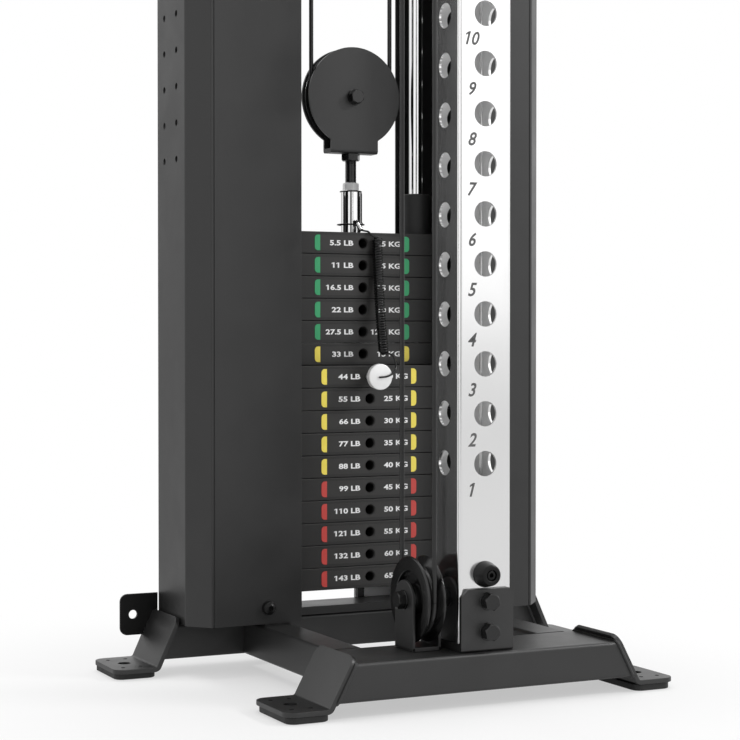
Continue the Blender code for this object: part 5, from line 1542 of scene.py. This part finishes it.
def shroud_outline():
    """Plan of the right shroud's bent sheet, with a radius at every bend."""
    t = SHEET
    bend = math.atan2(CHAMFER_Y - SHROUD_FRONT, SHROUD_OUTER - CHAMFER_X)
    front_shift = t * math.tan(bend / 2)
    side_shift = t * math.tan((math.pi / 2 - bend) / 2)
    return rounded([
        (FRONT_EDGE, SHROUD_FRONT, 0.4), (CHAMFER_X - 4.0, SHROUD_FRONT, 0.2),
        (CHAMFER_X - 3.6, SHROUD_FRONT + 0.8, 0), (CHAMFER_X - 2.6, SHROUD_FRONT + 0.8, 0),
        (CHAMFER_X - 2.2, SHROUD_FRONT, 0.2), (CHAMFER_X, SHROUD_FRONT, 2.0),
        (SHROUD_OUTER, CHAMFER_Y, 4.0), (SHROUD_OUTER, SHROUD_REAR, 3.5),
        (REAR_EDGE, SHROUD_REAR, 0.4), (REAR_EDGE, SHROUD_REAR - t, 0.4),
        (SHROUD_OUTER - t, SHROUD_REAR - t, 1.5), (SHROUD_OUTER - t, CHAMFER_Y + side_shift, 2.0),
        (CHAMFER_X - front_shift, SHROUD_FRONT + t, 2.0), (FRONT_EDGE, SHROUD_FRONT + t, 0.4),
    ], 5)


def make_shrouds():
    sheet = prism(shroud_outline(), SHROUD_BOTTOM, SHROUD_TOP, "Z", 0.3, 1)
    rows = int((SHROUD_TOP - 20 - FIRST_PERFORATION[1]) // PERFORATION_PITCH) + 1
    sheet = grown(
        PERFORATION_TREE, sheet, POWDER,
        first=(SHROUD_OUTER - SHEET / 2, *FIRST_PERFORATION),
        column_step=(0.0, PERFORATION_COLUMN, 0.0), columns=2,
        row_step=(0.0, 0.0, PERFORATION_PITCH), rows=rows,
        radius=PERFORATION_RADIUS, depth=12.0,
    )
    dome = [
        (0, -SHROUD_BOLT_HEAD), (3.2, -7.8), (5.8, -6.6), (7.2, -4.6), (7.5, -2.6), (7.5, 0.2),
        (0, 0.2),
    ]
    for side, sign, shape in (("left", -1, flipped(sheet.copy())), ("right", 1, sheet)):
        node = side + "_shroud"
        piece(node + "_sheet", shape, POWDER, stands_for=[node], smooth=30)
        x = sign * SHROUD_BOLT_X
        head = turned(dome, (x, SHROUD_FRONT, SHROUD_BOLT_Z), BACK, 48)
        recess = hex_head(5.0, 6.0, (x, SHROUD_FRONT - 11, SHROUD_BOLT_Z), BACK)
        piece(side + "_shroud_bolt", carved(head, recess), SHADED_RUBBER)


def make_link_plate():
    node = "link_plate"
    corner, other = ends(node)
    thickness = FOOT_PLATE / math.sin(REAR_SLOPE)
    slope_low = -foot_inner_x(REAR_BEND, REAR_SLOPE, corner.z) - thickness - 0.2
    slope_high = -foot_inner_x(REAR_BEND, REAR_SLOPE, LINK_STEP_Z) - thickness - 0.2
    inner = 0.1 - SHROUD_OUTER
    outline = rounded([
        (corner.x, corner.z, 8.5), (slope_low, corner.z, 0), (slope_high, LINK_STEP_Z, 0),
        (inner, LINK_STEP_Z, 0), (inner, other.z, 0), (corner.x, other.z, 8.5),
    ])
    plate = prism(outline, SHROUD_REAR + 0.3, SHROUD_REAR + 3.3, "Y", 0.5)
    centre = (corner.x + 15, 0, (corner.z + other.z) / 2)
    hole = turned(bar(5.0, corner.y - 5, other.y + 5), centre, BACK, 40)
    # The darker powder copy paints the shade on the link plate's face.
    piece("link_plate_steel", carved(plate, hole), SHADED_POWDER, stands_for=[node])


def make_rear_plate():
    """Low plate in front of the right shroud's rear return, seen under the stack, with a pale skin of
    painted reflection on its face and a black band of painted shade at its left.
    """
    front = REAR_PLATE_FRONT
    plate = rect(23.0, 96.0, REAR_PLATE_BOTTOM, REAR_PLATE_TOP, 1.5)
    piece("rear_low_plate", prism(plate, front, front + 1.8, "Y", 0.5), POWDER)
    # A pale skin over the dark plate's front: painted reflection.
    reflection_skin = prism(inset(plate, 0.5), front - 1.0, front + 0.02, "Y", 0.2)
    piece("rear_low_lining", reflection_skin, PALE_PAINTED_REFLECTION)
    # A black band in front of the plate's left end: painted shade.
    shade_band = rect(24.4, 33.5, REAR_PLATE_BOTTOM, REAR_PLATE_TOP, 1.0)
    piece("rear_low_stay", prism(shade_band, front - 4.8, front - 1.4, "Y", 0.5), BLACK_STEEL)


make_shrouds()
make_link_plate()
make_rear_plate()

# Top of the machine
TOP_BEAM_BOTTOM = low("top_beam").z
TOP_BEAM_TOP = TOP_BEAM_BOTTOM + 60.0
FORK_BASE_HALF = 26.0


def fork_shapes(centre):
    """A welded fork on the top beam, turned to the diagonal cable run."""
    sign = math.copysign(1, centre.x)
    left, right = sorted((centre.x + sign * FORK_BASE_HALF, -sign * 20.0))
    outline = rect(left, right, centre.y - FORK_BASE_HALF, centre.y + FORK_BASE_HALF, 3)
    base = prism(outline, TOP_BEAM_TOP - 1, TOP_BEAM_TOP + 5.0, "Z", 0.6)
    foot = TOP_BEAM_TOP + 4.0
    cheek = [(-BRACKET_HALF, foot), (BRACKET_HALF, foot)]
    cheek += arc((0, centre.z), BRACKET_HALF, 0, 180, 20)
    outer = BRACKET_INNER + BRACKET_PLATE
    turn = Matrix((diagonal_way, diagonal_axis, UP)).transposed().to_4x4()
    shapes = [base]
    for y in (-outer, BRACKET_INNER):
        plate = prism(cheek, y, y + BRACKET_PLATE, "Y", 0.5)
        plate.transform(Matrix.Translation((centre.x, centre.y, 0)) @ turn)
        bmesh.ops.recalc_face_normals(plate, faces=plate.faces[:])
        shapes.append(plate)
    return shapes


def make_top_beam():
    front = low("top_beam").y
    rear = STACK_Y + 50.0
    tube = rect(-30, 30, TOP_BEAM_BOTTOM, TOP_BEAM_TOP, 3.5)
    bore = rect(-27, 27, TOP_BEAM_BOTTOM + 3, TOP_BEAM_TOP - 3, 1.5)
    shapes = [carved(
        prism(tube, front, rear, "Y", 0.3, 1), prism(bore, front - 5, rear + 5, "Y")
    )]
    bolts = []
    for centre in (FRONT_DIAGONAL, REAR_DIAGONAL):
        shapes += fork_shapes(centre)
        bolts.append(axle(centre, diagonal_axis, BRACKET_INNER + BRACKET_PLATE, 5.0, 14.0))
    piece("top_beam_and_forks", joined(*shapes), POWDER, stands_for=["top_beam"])
    piece("fork_bolts", joined(*bolts), BLACK_STEEL)


def make_stack_top():
    node = "stack_top_plate"
    corner, other = ends(node)
    plate = prism(rect(corner.x, other.x, corner.y, other.y, 3), corner.z, other.z, "Z", 0.6)
    hole = bar(8.0, corner.z - 5, other.z + 5)
    sides = (-LIFT_PITCH_RADIUS, LIFT_PITCH_RADIUS)
    holes = [turned(hole, (x, STACK_Y, 0), UP, 40) for x in sides]
    piece("stack_top_steel", carved(plate, joined(*holes)), POWDER, stands_for=[node])


def make_upper_plate():
    node = "upper_pulley_plate"
    outer_face = CABLE_X - BRACKET_INNER - BRACKET_PLATE
    side = rect(
        FRONT_TOP.y - 15, REAR_TOP.y + 15, FRONT_TOP.z - 15, FRONT_TOP.z + 15, 14, 10
    )
    shapes = [prism(side, outer_face, outer_face + BRACKET_PLATE, "X", 0.5)]
    for pulley in (FRONT_TOP, REAR_TOP):
        stub = bar(AXLE_RADIUS, outer_face + 1, high(node).x)
        shapes.append(turned(stub, (0, pulley.y, pulley.z), RIGHT, 32))
    piece("upper_carrier", joined(*shapes), POWDER, stands_for=[node])
    head = hex_head(14.0, 6.0, (0, 0, 0), (-1, 0, 0))
    spots = [(outer_face, pulley.y, pulley.z) for pulley in (FRONT_TOP, REAR_TOP)]
    piece("upper_bolts", set_on(spots, head, BLACK_STEEL), BLACK_STEEL)


make_top_beam()
make_stack_top()
make_upper_plate()

# Carriage, swivelling fork and cable end
EAR_THICKNESS = 10.0
EAR_GAP = 10.0
UPPER_EAR = EXIT_PULLEY.z + PULLEY_RADIUS + EAR_GAP
LOWER_EAR = EXIT_PULLEY.z - PULLEY_RADIUS - EAR_GAP
SLEEVE_INNER = COLUMN_SIZE / 2 + 0.5
SLEEVE_OUTER = SLEEVE_INNER + 4.0
BOSS_END = SLEEVE_OUTER + 25.5
EXIT_CABLE_Z = EXIT_PULLEY.z - PITCH_RADIUS
FORK_INNER = 12.0
FORK_OUTER = FORK_INNER + BRACKET_PLATE
FORK_NOSE = low("swivel_fork").y


def make_carriage():
    node = "carriage"
    centre_y = COLUMN_SIZE / 2
    inner = SLEEVE_INNER
    outer = SLEEVE_OUTER
    bottom = CARRIAGE_HOLE_Z - 45.0
    top = high(node).z
    sleeve = prism(
        rect(-outer, outer, centre_y - outer, centre_y + outer, 5.5), bottom, top, "Z", 1.0
    )
    bore = prism(
        rect(-inner, inner, centre_y - inner, centre_y + inner, 2.5), bottom - 5, top + 5, "Z"
    )
    ear_corner = CABLE_X - 17.0
    ear = rounded([
        (ear_corner, CABLE_Y - 17, 12), (-outer + 1.5, CABLE_Y - 17, 0),
        (-outer + 1.5, CABLE_Y + 17, 0), (ear_corner, CABLE_Y + 17, 12),
    ], 10)
    pivot = turned(bar(8.3, UPPER_EAR - 5, UPPER_EAR + 15), (CABLE_X, CABLE_Y, 0), UP)
    upper = carved(prism(ear, UPPER_EAR, UPPER_EAR + EAR_THICKNESS, "Z", 0.9), pivot)
    socket = turned(bar(8.3, LOWER_EAR - 8, LOWER_EAR + 5), (CABLE_X, CABLE_Y, 0), UP)
    lower = carved(prism(ear, LOWER_EAR - EAR_THICKNESS, LOWER_EAR, "Z", 0.9), socket)
    block = prism(
        rect(CABLE_X - 10, CABLE_X + 10, CABLE_Y - 10, CABLE_Y + 10, 2.5),
        LOWER_EAR - EAR_THICKNESS - 22, LOWER_EAR - EAR_THICKNESS / 2, "Z", 0.9,
    )
    pin_place = (0, centre_y, CARRIAGE_HOLE_Z)
    boss = turned([
        (11.9, inner + 0.6), (17, inner + 0.6), (17, BOSS_END - 1.2), (15.8, BOSS_END),
        (12.6, BOSS_END), (11.9, BOSS_END - 0.7),
    ], pin_place, RIGHT)
    pin_bore = turned(bar(12.2, 20, BOSS_END + 5), pin_place, RIGHT)
    whole = joined(carved(sleeve, bore, pin_bore), upper, lower, block, boss)
    piece("carriage_sleeve", whole, POWDER, "carriage", stands_for=[node])
    lip = rect(-outer + 1, outer - 1, centre_y - outer + 1, centre_y + outer - 1, 4.5)
    hole = rect(-inner + 0.2, inner - 0.2, centre_y - inner + 0.2, centre_y + inner - 0.2, 2.5)
    liners = [
        carved(prism(lip, z - 1.2, z + 1.2, "Z", 0.5), prism(hole, z - 5, z + 5, "Z"))
        for z in (bottom, top)
    ]
    piece("carriage_liners", joined(*liners), NYLON, "carriage")


def make_pop_pin():
    tip = low("pop_pin").x
    end = high("pop_pin").x
    knob = BOSS_END + 11.0
    radius = high("pop_pin").z - middle("pop_pin").z
    centre = (0, COLUMN_SIZE / 2, CARRIAGE_HOLE_Z)
    steel = [
        (0, tip), (9.8, tip), (11.2, tip + 1.6), (11.2, BOSS_END - 10), (6, BOSS_END - 10),
        (6, knob + 1), (0, knob + 1),
    ]
    plunger = turned(steel, centre, RIGHT)
    piece("pop_pin_plunger", plunger, CHROME, "pop_pin", stands_for=["pop_pin"])
    grip = turned([
        (0, knob), (radius - 3, knob), (radius - 0.4, knob + 2.4), (radius - 0.4, end - 7),
        (radius - 1.4, end - 4), (radius - 5, end - 1), (radius - 8, end - 0.2), (0, end),
    ], centre, RIGHT, 96)
    flute = turned(bar(2.0, knob + 5, end + 3), (0, 0, 0), RIGHT, 16)
    spots = [
        (0, centre[1] + y, centre[2] + z) for y, z in arc((0, 0), radius + 0.8, 0, 345, 23)
    ]
    piece("pop_pin_knob", carved(grip, set_on(spots, flute, RUBBER)), RUBBER, "pop_pin")


def make_swivel_fork():
    node = "swivel_fork"
    bottom = LOWER_EAR + 1
    top = UPPER_EAR - 1
    rear = CABLE_Y + 9.2
    web_front = CABLE_Y - 11.8
    tongue = FORK_INNER + BRACKET_PLATE / 2
    nose_top = EXIT_CABLE_Z + 15
    cheek = rounded([
        (rear, bottom, 2), (rear, top, 2), (web_front - 1, top, 6),
        (EXIT_PULLEY.y - 16, EXIT_PULLEY.z + 12, 20), (FORK_NOSE, nose_top, 5),
        (FORK_NOSE, bottom, 4),
    ])
    shapes = [
        prism(cheek, CABLE_X + side, CABLE_X + side + BRACKET_PLATE, "X", 0.6)
        for side in (-FORK_OUTER, FORK_INNER)
    ]
    web = rect(CABLE_X - tongue, CABLE_X + tongue, web_front, rear - 1)
    swivel = (CABLE_X, CABLE_Y, 0)
    way_down = turned(bar(4.0, top - 12, top + 20), swivel, UP, 32)
    way_out = bar(5.0, FORK_NOSE - 4, FORK_NOSE + 8)
    way_out = turned(way_out, (CABLE_X, 0, EXIT_CABLE_Z), BACK, 32)
    pivot = turned(bar(8.0, top - 3, UPPER_EAR + 9.5, 0.8), swivel, UP)
    upper_web = prism(web, top - 7, top - 1, "Z", 0.5)
    nose = rect(CABLE_X - tongue, CABLE_X + tongue, FORK_NOSE + 1, FORK_NOSE + 5)
    stop = prism(nose, bottom + 1, nose_top - 1, "Z", 0.5)
    shapes += [
        carved(upper_web, way_down.copy()), carved(pivot, way_down), carved(stop, way_out),
        prism(web, bottom + 1, bottom + 6, "Z", 0.5),
        turned(bar(8.0, LOWER_EAR - 7.7, bottom + 3), swivel, UP),
    ]
    piece("fork_plates", joined(*shapes), POWDER, "swivel_fork", stands_for=[node])
    bolt = axle(EXIT_PULLEY, RIGHT, FORK_OUTER, 4.0, 14.0)
    piece("exit_bolt", bolt, BLACK_STEEL, "swivel_fork")


def make_stop_ball():
    ball = middle("cable_stop_ball")
    radius = high("cable_stop_ball").x - ball.x
    profile = [
        (0, -radius),
        *((radius * math.sin(t), -radius * math.cos(t)) for t in map(math.radians, range(14, 172, 6))),
        (0, radius),
    ]
    profile.insert(14, (radius - 0.5, 0.0))
    stop = turned(profile, ball, BACK)
    piece("stop_ball_rubber", stop, RUBBER, "cable_end", stands_for=["cable_stop_ball"])


def make_snap_hook():
    """An oval wire link with a gate sleeve at its lower side and a boss at its back."""
    back = high("snap_hook").y
    tip = low("snap_hook").y
    half = high("snap_hook").z - middle("snap_hook").z
    bend = half - 3.6
    loop = arc((back - half, EXIT_CABLE_Z), bend, -90, 90, 16)
    loop += arc((tip + half, EXIT_CABLE_Z), bend, 90, 270, 16)
    low_side = EXIT_CABLE_Z - bend
    parts = [cord([(CABLE_X, y, z) for y, z in loop], 3.5, CHROME, 20, closed=True)]
    for height, profile in (
        (low_side, bar(4.6, tip + 14, tip + 34, 0.8)),
        (low_side, bar(5.4, tip + 22, tip + 27, 0.6)),
        (EXIT_CABLE_Z, bar(4.2, back - 7.5, back, 0.8)),
    ):
        parts.append(turned(profile, (CABLE_X, 0, height), BACK, 40))
    piece("snap_hook_chrome", joined(*parts), CHROME, "cable_end", stands_for=["snap_hook"])


make_carriage()
make_pop_pin()
make_swivel_fork()
make_stop_ball()
make_snap_hook()


# Cable
def bow(centre, radius, first, second, start, end, steps=20):
    """Points on an arc round a pulley, with angles in degrees from the first axis to the second."""
    return [
        Vector(centre) + Vector(first) * a + Vector(second) * b
        for a, b in arc((0, 0), radius, start, end, steps)
    ]


def make_cables():
    gap = SEAT_GAP / 2
    exit_z = EXIT_CABLE_Z
    ball = middle("cable_stop_ball")
    top = REAR_DIAGONAL.z

    def front(z):
        return (CABLE_X, CABLE_Y, z)

    def rear(x, z):
        return (x, STACK_Y, z)

    anchor = high("cable_low_strand").z
    stretched(
        "low_strand", [front(anchor), front(LOW_PULLEY.z + gap)],
        ["cable_low_strand"],
    )
    cable("return_run", [
        front(LOW_PULLEY.z - gap),
        *bow(LOW_PULLEY, PITCH_RADIUS, BACK, UP, 190, 360, 28),
        *bow(FRONT_TOP, PITCH_RADIUS, BACK, UP, 180, 90),
        *bow(REAR_TOP, PITCH_RADIUS, BACK, UP, 90, 5),
        rear(REAR_TOP.x, REAR_TOP.z + gap),
    ], stands_for=["cable_return_run"])
    loop = [
        rear(REAR_TOP.x, REAR_TOP.z - gap),
        *bow(rear(0, LIFT_PULLEY.z), LIFT_PITCH_RADIUS, RIGHT, UP, 180, 360, 40),
        rear(LIFT_PITCH_RADIUS, top - gap),
    ]
    stretched(
        "lift_loop", loop,
        ["cable_lift_loop"],
    )
    cable("top_run", [
        rear(LIFT_PITCH_RADIUS, top + gap),
        *bow(REAR_DIAGONAL, PITCH_RADIUS, diagonal_way, UP, 5, 90),
        *bow(FRONT_DIAGONAL, PITCH_RADIUS, diagonal_way, UP, 90, 175),
        front(top + gap),
    ], stands_for=["cable_top_run"])
    stretched(
        "upper_strand", [front(top - gap), front(EXIT_PULLEY.z + gap)],
        ["cable_upper_strand"],
    )
    cable("exit_wrap", [
        front(EXIT_PULLEY.z - gap),
        *bow(EXIT_PULLEY, PITCH_RADIUS, BACK, UP, -2, -90),
        (CABLE_X, FORK_NOSE + 6, exit_z),
    ], "swivel_fork")
    stretched(
        "pulled_strand", [(CABLE_X, FORK_NOSE + 5.7, exit_z), (CABLE_X, ball.y, exit_z)],
    )


make_cables()


# Floor, sky and lamps
WHITE = (1, 1, 1, 1)
SKY_STRENGTH = 0.75
FLOOR_ALBEDO = 0.90
FLOOR_IN_MIRRORS = 0.85
FLOOR_MIRRORED_GREY = 0.63
FLOOR_SIZE = 14.0
FLOOR_FADE = (0.20, 0.75)
DARK_SIDE = ((-0.40, -0.916, 0.0), (0.972, 0.992), 0.12)
DIM_SIDE = ((-0.44, 0.89, -0.06), (0.94, 0.985), 0.48)
BRIGHT_SIDE = ((0.45, -0.80, 0.42), (0.90, 0.98), 1.4)


def ray_share(add, glossy):
    """1 for camera rays, a share of that for mirrored and passing rays, 0 for all others."""
    path = add("ShaderNodeLightPath").outputs
    either = calc(add, "MAXIMUM", path["Is Glossy Ray"], path["Is Transmission Ray"])
    part = calc(add, "MULTIPLY", either, glossy)
    return calc(add, "MAXIMUM", path["Is Camera Ray"], part)


def eased(add, value, start, end, first, last):
    """A value that eases from first to last as another goes from start to end."""
    return add(
        "ShaderNodeMapRange",
        {"From Min": start, "From Max": end, "To Min": first, "To Max": last, "Value": value},
        interpolation_type="SMOOTHSTEP",
    )


def make_sky():
    """White all round; mirrored rays find one end dark, one side dim and one side brighter."""
    world = bpy.data.worlds.new("white_room")
    scene.world = world
    world.use_nodes = True
    world.node_tree.nodes.clear()
    add = functools.partial(add_node, world.node_tree)
    way = add("ShaderNodeTexCoord").outputs["Generated"]

    def shaded_side(direction, reach, level):
        toward = Vector(direction).normalized()
        facing = add("ShaderNodeVectorMath", {0: way, 1: toward}, operation="DOT_PRODUCT")
        return eased(add, facing.outputs["Value"], *reach, 1.0, level)

    ends_shade = calc(add, "MULTIPLY", shaded_side(*DARK_SIDE), shaded_side(*DIM_SIDE))
    sides_shade = calc(add, "MULTIPLY", ends_shade, shaded_side(*BRIGHT_SIDE))
    height = add("ShaderNodeSeparateXYZ", {"Vector": way}).outputs["Z"]
    ground = add("ShaderNodeMapRange", {
        "From Min": -0.01, "From Max": 0.01, "To Min": FLOOR_MIRRORED_GREY, "To Max": 1.0,
        "Value": height,
    })
    shade = calc(add, "MULTIPLY", sides_shade, ground)
    seen = add("ShaderNodeLightPath").outputs["Is Camera Ray"]
    level = add("ShaderNodeMapRange", {"To Max": 1.0, "Value": seen, "To Min": shade})
    dim = add("ShaderNodeBackground", {"Color": WHITE, "Strength": SKY_STRENGTH})
    white = add("ShaderNodeBackground", {"Color": WHITE, "Strength": level})
    mix = add("ShaderNodeMixShader", {0: ray_share(add, 1.0), 1: dim, 2: white})
    add("ShaderNodeOutputWorld", {"Surface": mix})


def make_floor():
    shape = bmesh.new()
    bmesh.ops.create_grid(shape, x_segments=8, y_segments=8, size=FLOOR_SIZE / 2)
    floor = placed("floor", stored("floor", shape))
    floor.location = (0, 0, -0.0003)
    made = bpy.data.materials.new("pale_floor")
    made.use_nodes = True
    made.node_tree.nodes.clear()
    add = functools.partial(add_node, made.node_tree)
    place = add("ShaderNodeTexCoord").outputs["Object"]
    distance = add("ShaderNodeVectorMath", {0: place}, operation="LENGTH").outputs["Value"]
    fade = eased(add, distance, *FLOOR_FADE, 0.50, 1.0)
    share = calc(add, "MULTIPLY", fade, ray_share(add, FLOOR_IN_MIRRORS))
    matt = add("ShaderNodeBsdfDiffuse", {"Color": (*[FLOOR_ALBEDO] * 3, 1)})
    seen = add("ShaderNodeLightPath").outputs["Is Camera Ray"]
    level = add(
        "ShaderNodeMapRange", {"To Min": FLOOR_MIRRORED_GREY, "To Max": 1.0, "Value": seen}
    )
    white = add("ShaderNodeEmission", {"Color": WHITE, "Strength": level})
    mix = add("ShaderNodeMixShader", {0: share, 1: matt, 2: white})
    add("ShaderNodeOutputMaterial", {"Surface": mix})
    floor.data.materials.append(made)


def make_lamp(name, place, target, size, power):
    """A square lamp that faces a target."""
    data = bpy.data.lights.new(name, "AREA")
    data.shape = "RECTANGLE"
    data.size = size
    data.size_y = size
    data.energy = power
    lamp = placed(name, data)
    lamp.location = place
    way = Vector(target) - Vector(place)
    lamp.rotation_euler = way.to_track_quat("-Z", "Y").to_euler()


make_sky()
make_floor()
make_lamp("key_lamp", (2.45, -1.5, 2.15), (0, 0, 0.4), 0.5, 36)
make_lamp("overhead_lamp", (0.2, 0.6, 3.6), (0, 0, 0), 2.2, 38)
